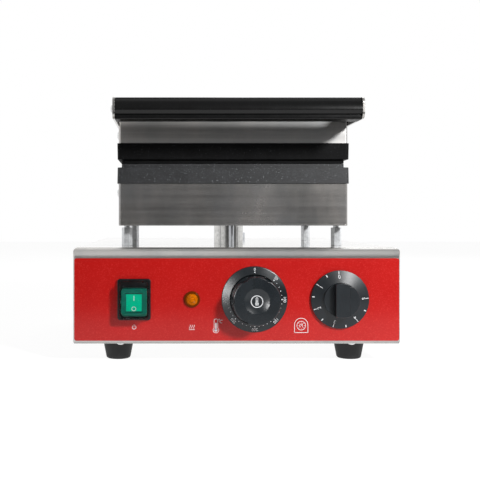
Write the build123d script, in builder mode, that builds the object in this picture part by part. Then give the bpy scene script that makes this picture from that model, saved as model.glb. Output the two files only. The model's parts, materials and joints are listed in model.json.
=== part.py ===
"""Belgian waffle maker with a stainless cabinet, a red control panel and a hinged square iron.

Millimetres. The front faces -Y, +X is to the right and +Z is up. The origin lies on the floor,
at the centre of the whole machine's length and width. The iron is modelled closed, with the
switch on and both dials at zero.
"""

from math import asin, atan, cos, degrees, radians, sin, sqrt, tan
import os

from build123d import *

os.makedirs("parts", exist_ok=True)

# Clearances
touch_gap = 0.05        # round pieces that are seated in each other, on the radius
run_gap = 0.05          # turning fits, on the radius
sheet_gap = 0.15        # round pieces in sheet holes, on the radius
move_gap = 0.5          # between bodies that move past each other
cut_past = 1.0          # how far a cut starts ahead of the face that it opens

# Cabinet
base_w = 310.0
base_d = 350.0
base_h = 90.8
sheet = 1.2
front_bend = 9.0
top_bend = 4.0
corner_bend = 2.0
flange_w = 16.0
bottom_t = 1.2
bottom_inset = 0.4
foot_h = 19.2
foot_top_d = 30.7
foot_low_d = 23.8
foot_side_in = 41.0
foot_in = 35.0
foot_recess_d = 13.0
foot_recess = 9.0
foot_edge = 1.2

# Red front panel
panel_side_gap = 1.3
panel_top_gap = 1.0
panel_t = 0.8
panel_r = 2.2
panel_low = 2.8

# Fasteners
m4 = 4.0
m5 = 5.0
m6 = 6.0
m4_head_d = 8.0
m4_head_h = 2.6
m5_head_d = 9.0
m5_head_h = 2.4
thread_long = 6.0
tap_past = 0.5
nut_past = 1.0
head_rim_share = 0.3
socket_deep_share = 0.5
socket_share = 0.5
nut_af_m6 = 10.0
nut_t_m6 = 5.0
bottom_screw_corner_in = 44.5
bottom_screw_in = 8.0
bottom_screw_side_y = 90.0

# Heights of the controls and their places along the front
control_z = 61.2
switch_x = -97.0
lamp_x = -42.4
temp_x = 16.8
timer_x = 97.2

# Switch
switch_w = 31.5
switch_h = 39.0
switch_r = 2.6
switch_out = 3.0
switch_lip = 1.2
switch_edge = 0.8
body_w = 27.6
body_h = 36.8
body_deep = 26.0
cut_gap = 0.2
rocker_w = 23.6
rocker_r = 13.3
rocker_tip = 6.4
rocker_dip = 3.6
rocker_back = 4.0
rocker_swing = 20.0
rocker_drop = 2.6
rocker_gap = 0.3
pivot_d = 3.0
pivot_long = 0.9
boot_w = 27.0
boot_h = 35.6
boot_r = 3.6
boot_out = 13.0
boot_wall = 0.8
boot_edge = 2.2
boot_seat_gap = 0.1
boot_draft = 1.0
terminal_w = 6.3
terminal_t = 0.8
terminal_long = 9.0

# Signal lamp
lamp_hole_d = 12.0
lamp_bezel_d = 15.3
lamp_bezel_t = 2.2
lamp_lens_d = 10.8
lamp_lens_out = 4.6
lamp_deep = 26.0
lamp_edge = 0.9
lens_seat = 1.0

# Thermostat, dial and knob
shaft_d = 6.0
shaft_hole_d = 10.0
fix_pitch = 28.0
ring_d = 62.6
ring_in_d = 47.2
ring_t = 2.2
ring_edge = 1.4
knob_d = 46.0
knob_taper = 1.2
knob_out = 22.0
knob_edge = 1.4
scallop_r = 9.0
scallop_deep = 2.3
scallop_floor = 5.0
dish_d = 24.5
dish_deep = 2.0
mark_w = 4.2
mark_long = 8.6
mark_h = 0.5
mark_sink = 1.0
hub_d = 13.0
knob_wall = 2.4
bore_deep = 12.0
bore_past = 1.0
thermostat_w = 50.0
thermostat_h = 36.0
thermostat_deep = 24.0
control_corner = 3.0

# Timer and knob
skirt_d = 54.7
skirt_t = 2.0
skirt_cone = 3.2
barrel_d = 32.3
barrel_out = 8.0
grip_w = 13.0
grip_out = 15.5
grip_edge = 0.8
timer_w = 46.0
timer_h = 50.0
timer_deep = 34.0

# Terminal block
block_w = 52.0
block_d = 24.0
block_h = 22.0
block_side_in = 75.0
block_in = 70.0
block_hole_d = 6.0
block_hole_deep = 6.0
block_hole_n = 4

# Posts, conduit and sensor tube
post_gap = 20.4
post_af = 9.5
post_neck = 2.2
post_side_in = 7.45
post_front_in = 20.0
post_back_in = 32.0
conduit_d = 31.0
conduit_wall = 1.5
conduit_in = 62.0
tube_past = 6.0
sensor_tube_d = 5.0
sensor_wall = 0.6
sensor_in = 21.0

# Iron
box_w = 228.5
box_d = 230.0
box_in = 39.0
box_h = 42.0
box_r = 2.5
lid_bend = 2.4
floor_t = 1.8
plate_over = 1.4
plate_t = 16.0
plate_r = 4.0
plate_draft = 1.2
rim_in = 4.2
rim_h = 3.8
mate_gap = 0.5
pocket_n = 4
pocket_gap = 7.0
stud_h = 11.0
stud_draft = 10.0
cavity_deep = 14.0
cavity_draft = 8.0
cavity_wall = 2.0
cavity_edge = 3.5
lug_w = 14.0
lug_t = 8.0
lug_long = 18.0
side_screw_in = 15.0
side_screw_z = 9.0

# Heating elements
element_d = 8.0
element_runs = 4
element_flat = 10.0
element_side_in = 39.25
element_front_in = 30.0
element_turn_in = 55.0
element_rear_in = 23.0
pin_d = 4.0
pin_long = 9.0
clamp_side_gap = 18.05
clamp_l = 18.0
clamp_t = 2.0
clamp_y = 34.0
clamp_corner = 3.0
clamp_slack = 0.2
pad_side_gap = 1.8
pad_end_gap = 13.8
pad_t = 17.0
pad_corner = 4.0
pad_gap = 1.0
bulb_d = 6.0
bulb_long = 70.0
bulb_back = 20.0
capillary_bend = 3.5
capillary_drop = (12.0, 16.0)
capillary_clear = 8.0
capillary_d = 2.0

# Hinge, arms and handle
hinge_back = 22.0
hinge_drop = 0.0
lid_swing = 100.0
hinge_shaft_d = 10.0
arm_t = 2.0
arm_low = 17.5
arm_h = 20.2
arm_corner = 6.0
arm_screw_in = 45.0
neck_w = 20.0
eye_r = 12.0
heel_long = 16.0
heel_w = 12.0
bush_d = 13.0
bush_past = 0.5
ear_side_in = 8.25
ear_t = 3.0
ear_low = 32.0
flange_t = 3.0
flange_wide = 26.0
bracket_screw_in = 7.0
stop_d = 6.0
stop_past = 1.0
ear_web = 7.5
end_nut_d = 16.0
end_nut_t = 7.0
end_nut_wall = 1.0
handle_reach = 60.0
handle_deep = 22.0
handle_h = 21.6
handle_nose = 8.4
handle_top_r = 7.5
handle_chin_in = 2.6
handle_chin_h = 3.4
handle_low_r = 1.5
groove_w = 0.9
groove_deep = 1.0
handle_screw_z = 10.6

# Hose to the lid
hose_d = 12.0
hose_bore = 8.0
hose_root = 10.4
rib_pitch = 4.0
hose_x = (31.0, 52.0)
hose_back = 60.0
hose_up = 20.5
hose_rise = 30.0
hose_bow = 6.0
hose_bends = (60.0, 36.0)
wire_gap = 1.5
fitting_af = 16.0
fitting_h = 8.0
fitting_neck = 4.0
fitting_neck_d = 12.0

# Cable gland
gland_d = 15.8
gland_flange_af = 22.0
gland_flange_t = 5.0
gland_out = 16.0
gland_bore = 9.0
gland_dome = 4.0
gland_dome_in = 1.0
gland_thread_past = 2.0
gland_side_in = 45.0
gland_z = 50.0
locknut_t = 5.0

# Vents
vent_n = 10
vent_w = 3.0
vent_h = 26.0
vent_pitch = 8.0
vent_back = 70.0

# Places worked out from the sizes
base_z = foot_h
base_top = base_z + base_h
side_x = base_w / 2
panel_w = base_w - 2 * panel_side_gap
panel_h = base_h - front_bend - panel_top_gap - panel_low
front_reach = max(panel_t + knob_out + mark_h, handle_reach - box_in)
back_reach = gland_out
front_y = front_reach - (front_reach + base_d + back_reach) / 2
back_y = front_y + base_d
mid_y = (front_y + back_y) / 2
panel_y = front_y - panel_t
inner_front = front_y + sheet
box_front = front_y + box_in
box_back = box_front + box_d
box_y = (box_front + box_back) / 2
low_box_z = base_top + post_gap
low_plate_z = low_box_z + box_h
mate_z = low_plate_z + plate_t + rim_h + mate_gap / 2
up_plate_z = 2 * mate_z - low_plate_z
top_z = up_plate_z + box_h
hinge_y = box_back + hinge_back
hinge_z = mate_z - hinge_drop
post_x = box_w / 2 - post_side_in
ear_x = box_w / 2 - ear_side_in
pad_w = 2 * (post_x - nut_af_m6 / 2 - pad_side_gap)
pad_d = box_d - 2 * sheet - 2 * pad_end_gap
clamp_w = box_w - 2 * sheet - 2 * clamp_side_gap
foot_x = side_x - foot_side_in
gland_x = side_x - gland_side_in
block_x = block_side_in - side_x
bottom_screw_x = side_x - bottom_screw_corner_in
post_places = [
    (x, y) for x in (-post_x, post_x) for y in (box_front + post_front_in, box_back - post_back_in)
]
foot_places = [(x, y) for x in (-foot_x, foot_x) for y in (front_y + foot_in, back_y - foot_in)]
bottom_screw_places = [
    (x, y)
    for x in (-bottom_screw_x, bottom_screw_x)
    for y in (front_y + bottom_screw_in, back_y - bottom_screw_in)
] + [
    (x, mid_y + y)
    for x in (bottom_screw_in - side_x, side_x - bottom_screw_in)
    for y in (-bottom_screw_side_y, bottom_screw_side_y)
]
rocker_z = control_z - rocker_drop
ear_foot_z = low_plate_z - ear_low
bracket_screw_x = ear_x - flange_wide + bracket_screw_in
bracket_screw_z = (ear_foot_z + bracket_screw_in, low_plate_z - flange_t - bracket_screw_in)
hose_y = box_back + hose_back


def side_plane(seat, out):
    """Plane through a screw's axis: local x is the radius and local y points out."""
    axis = Vector(*out)
    side = Vector(1, 0, 0) if abs(axis.X) < 0.5 else Vector(0, 0, 1)
    return Plane(origin=seat, x_dir=side, z_dir=side.cross(axis))


def dome_middle(rim_r, rim, top):
    """Middle point of the arc from (rim_r, rim) to (0, top) that is centred on the axis."""
    centre = (top**2 - rim**2 - rim_r**2) / (2 * (top - rim))
    dome_r = top - centre
    half = asin(rim_r / dome_r) / 2
    return (dome_r * sin(half), centre + dome_r * cos(half))


def dome_screw(seat, out, head_d, head_h, shank_d, shank_long):
    """Domed socket screw whose head rests on seat and looks along out."""
    rim = head_rim_share * head_h
    head_r = head_d / 2
    with BuildSketch(side_plane(seat, out)) as profile:
        with BuildLine():
            Polyline(
                (0, head_h),
                (0, -shank_long),
                (shank_d / 2, -shank_long),
                (shank_d / 2, 0),
                (head_r, 0),
                (head_r, rim),
            )
            ThreePointArc((head_r, rim), dome_middle(head_r, rim, head_h), (0, head_h))
        make_face()
    revolve(profile.sketch, axis=Axis(seat, out))
    top = Vector(*seat) + Vector(*out) * head_h
    with BuildSketch(Plane(origin=top, z_dir=out)) as socket:
        RegularPolygon(socket_share * shank_d, 6)
    extrude(socket.sketch, amount=-socket_deep_share * head_h, mode=Mode.SUBTRACT)


def hex_nut(seat, out, across, thick, hole_d):
    """Plain hexagon nut that lies on seat and builds up along out."""
    with BuildSketch(Plane(origin=seat, z_dir=out)) as outline:
        RegularPolygon(across / 2, 6, major_radius=False)
        Circle(hole_d / 2, mode=Mode.SUBTRACT)
    extrude(outline.sketch, amount=thick)


def cabinet_form(inset, low):
    """Cabinet's outer form drawn in by inset, from the height low upwards."""
    width = base_w - 2 * inset
    depth = base_d - 2 * inset
    high = base_top - inset - low
    with BuildPart() as form:
        with BuildSketch(Plane.XY.offset(low)):
            with Locations((0, mid_y)):
                RectangleRounded(width, depth, max(corner_bend - inset, 0.4))
        extrude(amount=high)
        with BuildSketch(Plane.XZ.offset(-front_y + base_d)):
            with Locations((0, low + high / 2)):
                front_view = Rectangle(width, high)
            fillet(front_view.vertices().group_by(Axis.Y)[-1], top_bend - inset)
        extrude(amount=-3 * base_d, mode=Mode.INTERSECT)
        with BuildSketch(Plane.YZ.offset(-base_w)):
            with Locations((mid_y, low + high / 2)):
                side_view = Rectangle(depth, high)
            tops = side_view.vertices().group_by(Axis.Y)[-1].sort_by(Axis.X)
            fillet(tops[0], front_bend - inset)
            fillet(tops[1], top_bend - inset)
        extrude(amount=2 * base_w, mode=Mode.INTERSECT)
    return form.part


def control_cutouts():
    """Openings that the panel and the cabinet's front share."""
    with Locations((switch_x, control_z)):
        Rectangle(body_w + 2 * cut_gap, body_h + 2 * cut_gap)
    with Locations((lamp_x, control_z)):
        Circle(lamp_hole_d / 2)
    with Locations((temp_x, control_z), (timer_x, control_z)):
        Circle(shaft_hole_d / 2)


def fix_holes(hole_d):
    """Pairs of fixing holes beside the thermostat's and the timer's shaft."""
    for x in (temp_x, timer_x):
        with Locations((x - fix_pitch / 2, control_z), (x + fix_pitch / 2, control_z)):
            Circle(hole_d / 2)


def through_front():
    """Plane just ahead of the front, looking out of it."""
    return Plane.XZ.offset(-(panel_y - cut_past))


# Cabinet cover: folded from one sheet, with flanges turned in at the bottom
with BuildPart() as base_cover:
    add(cabinet_form(0, base_z + bottom_t))
    add(cabinet_form(sheet, base_z + bottom_t + sheet), mode=Mode.SUBTRACT)
    with BuildSketch(Plane.XY.offset(base_z + bottom_t)):
        with Locations((0, mid_y)):
            Rectangle(base_w - 2 * flange_w, base_d - 2 * flange_w)
    extrude(amount=sheet, mode=Mode.SUBTRACT)
    with BuildSketch(through_front()):
        control_cutouts()
        fix_holes(m4 + 2 * touch_gap)
    extrude(amount=-(panel_t + 2 * sheet + cut_past), mode=Mode.SUBTRACT)
    with BuildSketch(Plane.XY.offset(base_top - 2 * sheet)):
        with Locations(*post_places):
            Circle(m6 / 2 + sheet_gap)
        with Locations((0, box_front + conduit_in)):
            Circle(conduit_d / 2 + sheet_gap)
        with Locations((0, box_front + sensor_in)):
            Circle(sensor_tube_d / 2 + sheet_gap)
        with Locations((hose_x[0], hose_y)):
            Circle(hose_bore / 2 + wire_gap)
    extrude(amount=3 * sheet, mode=Mode.SUBTRACT)
    with BuildSketch(Plane.XY.offset(base_z)):
        with Locations(*bottom_screw_places):
            Circle(m4 / 2 + touch_gap)
    extrude(amount=4 * sheet, mode=Mode.SUBTRACT)
    with BuildSketch(Plane.YZ.offset(-base_w)):
        with Locations((mid_y + vent_back, base_z + base_h / 2)):
            with GridLocations(vent_pitch, 1, vent_n, 1):
                SlotOverall(vent_h, vent_w, rotation=90)
    extrude(amount=2 * base_w, mode=Mode.SUBTRACT)
    with BuildSketch(Plane.XZ.offset(-(back_y - 2 * sheet))):
        with Locations((0, base_z + base_h / 2)):
            with GridLocations(vent_pitch, 1, 2 * vent_n, 1):
                SlotOverall(vent_h, vent_w, rotation=90)
        with Locations((gland_x, gland_z)):
            Circle(gland_d / 2 + sheet_gap)
    extrude(amount=-4 * sheet, mode=Mode.SUBTRACT)
base_cover.part.label = "base_cover"
export_step(base_cover.part, "parts/base_cover.step")

# Bottom plate under the cover's flanges
with BuildPart() as bottom_plate:
    with BuildSketch(Plane.XY.offset(base_z)):
        with Locations((0, mid_y)):
            RectangleRounded(base_w - 2 * bottom_inset, base_d - 2 * bottom_inset, corner_bend)
        with Locations(*bottom_screw_places):
            Circle(m4 / 2 + touch_gap, mode=Mode.SUBTRACT)
        with Locations(*foot_places):
            Circle(m5 / 2 + touch_gap, mode=Mode.SUBTRACT)
        with Locations((0, mid_y)):
            with GridLocations(vent_pitch, 2 * vent_h, vent_n, 2):
                SlotOverall(vent_h, vent_w, rotation=90, mode=Mode.SUBTRACT)
    extrude(amount=bottom_t)
bottom_plate.part.label = "bottom_plate"
export_step(bottom_plate.part, "parts/bottom_plate.step")

with BuildPart() as bottom_screws:
    for x, y in bottom_screw_places:
        dome_screw((x, y, base_z), (0, 0, -1), m4_head_d, m4_head_h, m4, thread_long)
bottom_screws.part.label = "bottom_screws"
export_step(bottom_screws.part, "parts/bottom_screws.step")

# Rubber feet, each a cone with a recess for its screw
with BuildPart() as feet:
    for x, y in foot_places:
        with BuildSketch(Plane(origin=(x, y, 0), x_dir=(1, 0, 0), z_dir=(0, -1, 0))):
            with BuildLine():
                Polyline(
                    (foot_recess_d / 2, 0),
                    (foot_low_d / 2 - foot_edge, 0),
                    (foot_low_d / 2, foot_edge),
                    (foot_top_d / 2, foot_h),
                    (m5 / 2 + touch_gap, foot_h),
                    (m5 / 2 + touch_gap, foot_recess),
                    (foot_recess_d / 2, foot_recess),
                    close=True,
                )
            make_face()
        revolve(axis=Axis((x, y, 0), (0, 0, 1)))
feet.part.label = "feet"
export_step(feet.part, "parts/feet.step")

with BuildPart() as foot_screws:
    for x, y in foot_places:
        shank = foot_h - foot_recess + bottom_t + thread_long
        dome_screw((x, y, foot_recess), (0, 0, -1), m5_head_d, m5_head_h, m5, shank)
foot_screws.part.label = "foot_screws"
export_step(foot_screws.part, "parts/foot_screws.step")

# Red panel plate on the cabinet's front
with BuildPart() as front_panel:
    with BuildSketch(Plane.XZ.offset(-front_y)):
        with Locations((0, base_z + panel_low + panel_h / 2)):
            RectangleRounded(panel_w, panel_h, panel_r)
    extrude(amount=panel_t)
    with BuildSketch(through_front()):
        control_cutouts()
        fix_holes(m4_head_d)
    extrude(amount=-(panel_t + cut_past), mode=Mode.SUBTRACT)
front_panel.part.label = "front_panel"
export_step(front_panel.part, "parts/front_panel.step")


def rocker_form(half_h, front, dip, back, tilt):
    """Rocker's side outline about its pivot: arcs above and below, a shallow dip in front."""
    tip_z = sqrt(half_h**2 - front**2)
    back_z = sqrt(half_h**2 - back**2)
    with BuildSketch(Plane(origin=(switch_x - rocker_w / 2, panel_y, rocker_z),
                           x_dir=(0, cos(tilt), sin(tilt)), z_dir=(1, 0, 0))) as outline:
        with BuildLine():
            Line((-front, tip_z), (-dip, 0))
            Line((-dip, 0), (-front, -tip_z))
            ThreePointArc((-front, -tip_z), (0, -half_h), (back, -back_z))
            Line((back, -back_z), (back, back_z))
            ThreePointArc((back, back_z), (0, half_h), (-front, tip_z))
        make_face()
    extrude(outline.sketch, amount=rocker_w)


# Switch: frame and body in one moulding, with the rocker's well
with BuildPart() as switch_frame:
    with BuildSketch(Plane.XZ.offset(-panel_y)):
        with Locations((switch_x, control_z)):
            RectangleRounded(switch_w, switch_h, switch_r)
    extrude(amount=switch_out)
    fillet(switch_frame.faces().sort_by(Axis.Y)[0].edges(), switch_edge)
    with BuildSketch(Plane.XZ.offset(-(panel_y + body_deep))):
        with Locations((switch_x, control_z)):
            Rectangle(body_w, body_h)
    extrude(amount=body_deep)
    with BuildSketch(Plane.XZ.offset(-(panel_y - switch_out))):
        with Locations((switch_x, control_z)):
            RectangleRounded(boot_w + 2 * boot_seat_gap, boot_h + 2 * boot_seat_gap, boot_r)
    extrude(amount=-switch_lip, mode=Mode.SUBTRACT)
    with BuildSketch(Plane.XZ.offset(-(panel_y - switch_out))):
        with Locations((switch_x, rocker_z)):
            Rectangle(rocker_w + 2 * rocker_gap, 2 * (rocker_r + rocker_gap))
    extrude(amount=-(switch_out + rocker_back + rocker_r / 2), mode=Mode.SUBTRACT)
    with BuildSketch(Plane.YZ.offset(switch_x - rocker_w / 2 - rocker_gap - pivot_long)):
        with Locations((panel_y, rocker_z)):
            Circle(pivot_d / 2 + run_gap)
    extrude(amount=rocker_w + 2 * rocker_gap + 2 * pivot_long, mode=Mode.SUBTRACT)
switch_frame.part.label = "switch_frame"
export_step(switch_frame.part, "parts/switch_frame.step")

with BuildPart() as switch_rocker:
    rocker_form(rocker_r, rocker_tip, rocker_dip, rocker_back, radians(-rocker_swing / 2))
    with BuildSketch(Plane.YZ.offset(switch_x - rocker_w / 2 - rocker_gap - pivot_long / 2)):
        with Locations((panel_y, rocker_z)):
            Circle(pivot_d / 2)
    extrude(amount=rocker_w + 2 * rocker_gap + pivot_long)
switch_rocker.part.label = "switch_rocker"
export_step(switch_rocker.part, "parts/switch_rocker.step")

# Clear waterproof boot that stands in the frame and covers the rocker
with BuildPart() as switch_boot:
    boot_foot = panel_y - switch_out + switch_lip
    with BuildSketch(Plane.XZ.offset(-boot_foot)):
        with Locations((switch_x, control_z)):
            RectangleRounded(boot_w, boot_h, boot_r)
    extrude(amount=boot_out - switch_out + switch_lip, taper=boot_draft)
    fillet(switch_boot.faces().sort_by(Axis.Y)[0].edges(), boot_edge)
    with BuildSketch(Plane.XZ.offset(-boot_foot)):
        with Locations((switch_x, control_z)):
            RectangleRounded(boot_w - 2 * boot_wall, boot_h - 2 * boot_wall, boot_r - boot_wall)
    extrude(
        amount=boot_out - switch_out + switch_lip - boot_wall, taper=boot_draft, mode=Mode.SUBTRACT
    )
switch_boot.part.label = "switch_boot"
export_step(switch_boot.part, "parts/switch_boot.step")

with BuildPart() as switch_terminals:
    with BuildSketch(Plane.XZ.offset(-(panel_y + body_deep))):
        with Locations((switch_x, control_z)):
            with GridLocations(body_w / 2, body_h / 3, 2, 3):
                Rectangle(terminal_t, terminal_w)
    extrude(amount=-terminal_long)
switch_terminals.part.label = "switch_terminals"
export_step(switch_terminals.part, "parts/switch_terminals.step")

# Signal lamp: bezel with its body, and the domed lens
with BuildPart() as lamp_body:
    with BuildSketch(Plane(origin=(lamp_x, panel_y, control_z), x_dir=(1, 0, 0), z_dir=(0, 0, 1))):
        with BuildLine():
            Polyline(
                (0, lamp_deep),
                (lamp_hole_d / 2 - cut_gap, lamp_deep),
                (lamp_hole_d / 2 - cut_gap, 0),
                (lamp_bezel_d / 2, 0),
                (lamp_bezel_d / 2, lamp_edge - lamp_bezel_t),
                (lamp_bezel_d / 2 - lamp_edge, -lamp_bezel_t),
                (lamp_lens_d / 2 + touch_gap, -lamp_bezel_t),
                (lamp_lens_d / 2 + touch_gap, lens_seat),
                (0, lens_seat),
                close=True,
            )
        make_face()
    revolve(axis=Axis((lamp_x, panel_y, control_z), (0, 1, 0)))
lamp_body.part.label = "lamp_body"
export_step(lamp_body.part, "parts/lamp_body.step")

with BuildPart() as lamp_lens:
    lens_r = lamp_lens_d / 2
    with BuildSketch(Plane(origin=(lamp_x, panel_y, control_z), x_dir=(1, 0, 0), z_dir=(0, 0, -1))):
        with BuildLine():
            Polyline(
                (0, lamp_lens_out), (0, -lens_seat), (lens_r, -lens_seat), (lens_r, lamp_bezel_t)
            )
            ThreePointArc(
                (lens_r, lamp_bezel_t),
                dome_middle(lens_r, lamp_bezel_t, lamp_lens_out),
                (0, lamp_lens_out),
            )
        make_face()
    revolve(axis=Axis((lamp_x, panel_y, control_z), (0, 1, 0)))
lamp_lens.part.label = "lamp_lens"
export_step(lamp_lens.part, "parts/lamp_lens.step")

# Thermostat and timer bodies behind the front wall
with BuildPart() as thermostat_body:
    with BuildSketch(Plane.XZ.offset(-inner_front)):
        with Locations((temp_x, control_z)):
            RectangleRounded(thermostat_w, thermostat_h, control_corner)
    extrude(amount=-thermostat_deep)
    with BuildSketch(Plane.XZ.offset(-inner_front)):
        with Locations((temp_x, control_z)):
            Circle(shaft_d / 2 + run_gap)
    extrude(amount=-(bore_deep + bore_past), mode=Mode.SUBTRACT)
    with BuildSketch(Plane.XZ.offset(-inner_front)):
        fix_holes(m4 + 2 * touch_gap)
    extrude(amount=-(thread_long + tap_past), mode=Mode.SUBTRACT)
thermostat_body.part.label = "thermostat_body"
export_step(thermostat_body.part, "parts/thermostat_body.step")

with BuildPart() as timer_body:
    with BuildSketch(Plane.XZ.offset(-inner_front)):
        with Locations((timer_x, control_z)):
            RectangleRounded(timer_w, timer_h, control_corner)
    extrude(amount=-timer_deep)
    with BuildSketch(Plane.XZ.offset(-inner_front)):
        with Locations((timer_x, control_z)):
            Circle(shaft_d / 2 + run_gap)
    extrude(amount=-(bore_deep + bore_past), mode=Mode.SUBTRACT)
    with BuildSketch(Plane.XZ.offset(-inner_front)):
        fix_holes(m4 + 2 * touch_gap)
    extrude(amount=-(thread_long + tap_past), mode=Mode.SUBTRACT)
timer_body.part.label = "timer_body"
export_step(timer_body.part, "parts/timer_body.step")

with BuildPart() as control_screws:
    for x in (temp_x, timer_x):
        for side in (-1, 1):
            seat = (x + side * fix_pitch / 2, front_y, control_z)
            with BuildSketch(Plane.XZ.offset(-front_y)):
                with Locations((seat[0], control_z)):
                    Circle(m4_head_d / 2 - touch_gap)
            extrude(amount=panel_t)
            with BuildSketch(Plane.XZ.offset(-front_y)):
                with Locations((seat[0], control_z)):
                    Circle(m4 / 2)
            extrude(amount=-(sheet + thread_long))
control_screws.part.label = "control_screws"
export_step(control_screws.part, "parts/control_screws.step")

# Fixed scale ring around the temperature knob
with BuildPart() as temperature_scale_ring:
    with BuildSketch(Plane(origin=(temp_x, panel_y, control_z), x_dir=(1, 0, 0), z_dir=(0, 0, 1))):
        with BuildLine():
            Polyline(
                (ring_in_d / 2, 0),
                (ring_d / 2, 0),
                (ring_d / 2, ring_edge - ring_t),
                (ring_d / 2 - ring_edge, -ring_t),
                (ring_in_d / 2, -ring_t),
                close=True,
            )
        make_face()
    revolve(axis=Axis((temp_x, panel_y, control_z), (0, 1, 0)))
temperature_scale_ring.part.label = "temperature_scale_ring"
export_step(temperature_scale_ring.part, "parts/temperature_scale_ring.step")


def dial_shaft(x, out):
    """Round shaft from inside a control to the knob's bore."""
    with BuildSketch(Plane.XZ.offset(-(inner_front + bore_deep))) as section:
        with Locations((x, control_z)):
            Circle(shaft_d / 2)
    extrude(section.sketch, amount=inner_front + bore_deep - (panel_y - out))


# Temperature knob: a fluted cup with a dished face and a hub for the shaft
with BuildPart() as temperature_knob:
    knob_foot = panel_y - move_gap
    knob_high = knob_out - move_gap
    with BuildSketch(Plane.XZ.offset(-knob_foot)):
        with Locations((temp_x, control_z)):
            Circle(knob_d / 2)
    extrude(amount=knob_high, taper=degrees(atan(knob_taper / 2 / knob_high)))
    fillet(temperature_knob.faces().sort_by(Axis.Y)[0].edges(), knob_edge)
    with BuildSketch(Plane.XZ.offset(-(knob_foot - scallop_floor))):
        with Locations((temp_x, control_z)):
            with PolarLocations(knob_d / 2 - scallop_deep + scallop_r, 6, start_angle=0):
                Circle(scallop_r)
    extrude(amount=knob_high, mode=Mode.SUBTRACT)
    with BuildSketch(Plane.XZ.offset(-knob_foot)):
        with Locations((temp_x, control_z)):
            Circle(knob_d / 2 - knob_wall - scallop_deep)
            Circle(hub_d / 2, mode=Mode.SUBTRACT)
    extrude(amount=knob_high - 2 * knob_wall - dish_deep, mode=Mode.SUBTRACT)
    with BuildSketch(Plane.XZ.offset(-knob_foot)):
        with Locations((temp_x, control_z)):
            Circle(shaft_d / 2 + touch_gap)
    extrude(amount=bore_deep + bore_past, mode=Mode.SUBTRACT)
    dish_r = ((dish_d / 2) ** 2 + dish_deep**2) / (2 * dish_deep)
    with Locations((temp_x, panel_y - knob_out + dish_deep - dish_r, control_z)):
        Sphere(dish_r, mode=Mode.SUBTRACT)
    with BuildSketch(Plane.XZ.offset(-(panel_y - knob_out + mark_sink))):
        with Locations((temp_x, control_z + knob_d / 2 - mark_long / 2 - knob_edge)):
            Rectangle(mark_w, mark_long)
    extrude(amount=mark_sink + mark_h)
temperature_knob.part.label = "temperature_knob"
export_step(temperature_knob.part, "parts/temperature_knob.step")

with BuildPart() as thermostat_shaft:
    dial_shaft(temp_x, bore_deep + move_gap)
thermostat_shaft.part.label = "thermostat_shaft"
export_step(thermostat_shaft.part, "parts/thermostat_shaft.step")

# Timer knob: a conical skirt, a barrel and a cross grip
with BuildPart() as timer_knob:
    with BuildSketch(Plane(origin=(timer_x, panel_y, control_z), x_dir=(1, 0, 0), z_dir=(0, 0, 1))):
        with BuildLine():
            Polyline(
                (0, -move_gap),
                (skirt_d / 2, -move_gap),
                (skirt_d / 2, -move_gap - skirt_t),
                (barrel_d / 2, -move_gap - skirt_t - skirt_cone),
                (barrel_d / 2, -barrel_out),
                (0, -barrel_out),
                close=True,
            )
        make_face()
    revolve(axis=Axis((timer_x, panel_y, control_z), (0, 1, 0)))
    with BuildSketch(Plane.XZ.offset(-(panel_y - barrel_out))):
        with Locations((timer_x, control_z)):
            Circle(barrel_d / 2)
            Rectangle(grip_w, barrel_d, mode=Mode.INTERSECT)
    extrude(amount=grip_out - barrel_out)
    fillet(timer_knob.faces().sort_by(Axis.Y)[0].edges(), grip_edge)
    with BuildSketch(Plane.XZ.offset(-panel_y)):
        with Locations((timer_x, control_z)):
            Circle(shaft_d / 2 + touch_gap)
    extrude(amount=bore_deep + bore_past, mode=Mode.SUBTRACT)
timer_knob.part.label = "timer_knob"
export_step(timer_knob.part, "parts/timer_knob.step")

with BuildPart() as timer_shaft:
    dial_shaft(timer_x, bore_deep)
timer_shaft.part.label = "timer_shaft"
export_step(timer_shaft.part, "parts/timer_shaft.step")

# Terminal block on the bottom plate
with BuildPart() as terminal_block:
    with BuildSketch(Plane.XY.offset(base_z + bottom_t)):
        with Locations((block_x, back_y - block_in)):
            Rectangle(block_w, block_d)
    extrude(amount=block_h)
    with BuildSketch(Plane.XY.offset(base_z + bottom_t + block_h)):
        with Locations((block_x, back_y - block_in)):
            with GridLocations(block_w / block_hole_n, block_d / 2, block_hole_n, 2):
                Circle(block_hole_d / 2)
    extrude(amount=-block_hole_deep, mode=Mode.SUBTRACT)
terminal_block.part.label = "terminal_block"
export_step(terminal_block.part, "parts/terminal_block.step")

# Cable gland in the back wall, with its locknut inside
with BuildPart() as cable_gland:
    with BuildSketch(Plane.XZ.offset(-back_y)):
        with Locations((gland_x, gland_z)):
            RegularPolygon(gland_flange_af / 2, 6, major_radius=False)
    extrude(amount=-gland_flange_t)
    with BuildSketch(Plane.XZ.offset(-(back_y + gland_flange_t))):
        with Locations((gland_x, gland_z)):
            Circle(gland_flange_af / 2 - gland_dome_in)
    extrude(amount=-(gland_out - gland_flange_t))
    fillet(cable_gland.faces().sort_by(Axis.Y)[-1].edges(), gland_dome)
    with BuildSketch(Plane.XZ.offset(-back_y)):
        with Locations((gland_x, gland_z)):
            Circle(gland_d / 2)
    extrude(amount=sheet + locknut_t + gland_thread_past)
    with BuildSketch(Plane.XZ.offset(-(back_y + gland_out))):
        with Locations((gland_x, gland_z)):
            Circle(gland_bore / 2)
    extrude(amount=gland_out + sheet + locknut_t + gland_thread_past, mode=Mode.SUBTRACT)
cable_gland.part.label = "cable_gland"
export_step(cable_gland.part, "parts/cable_gland.step")

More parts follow.
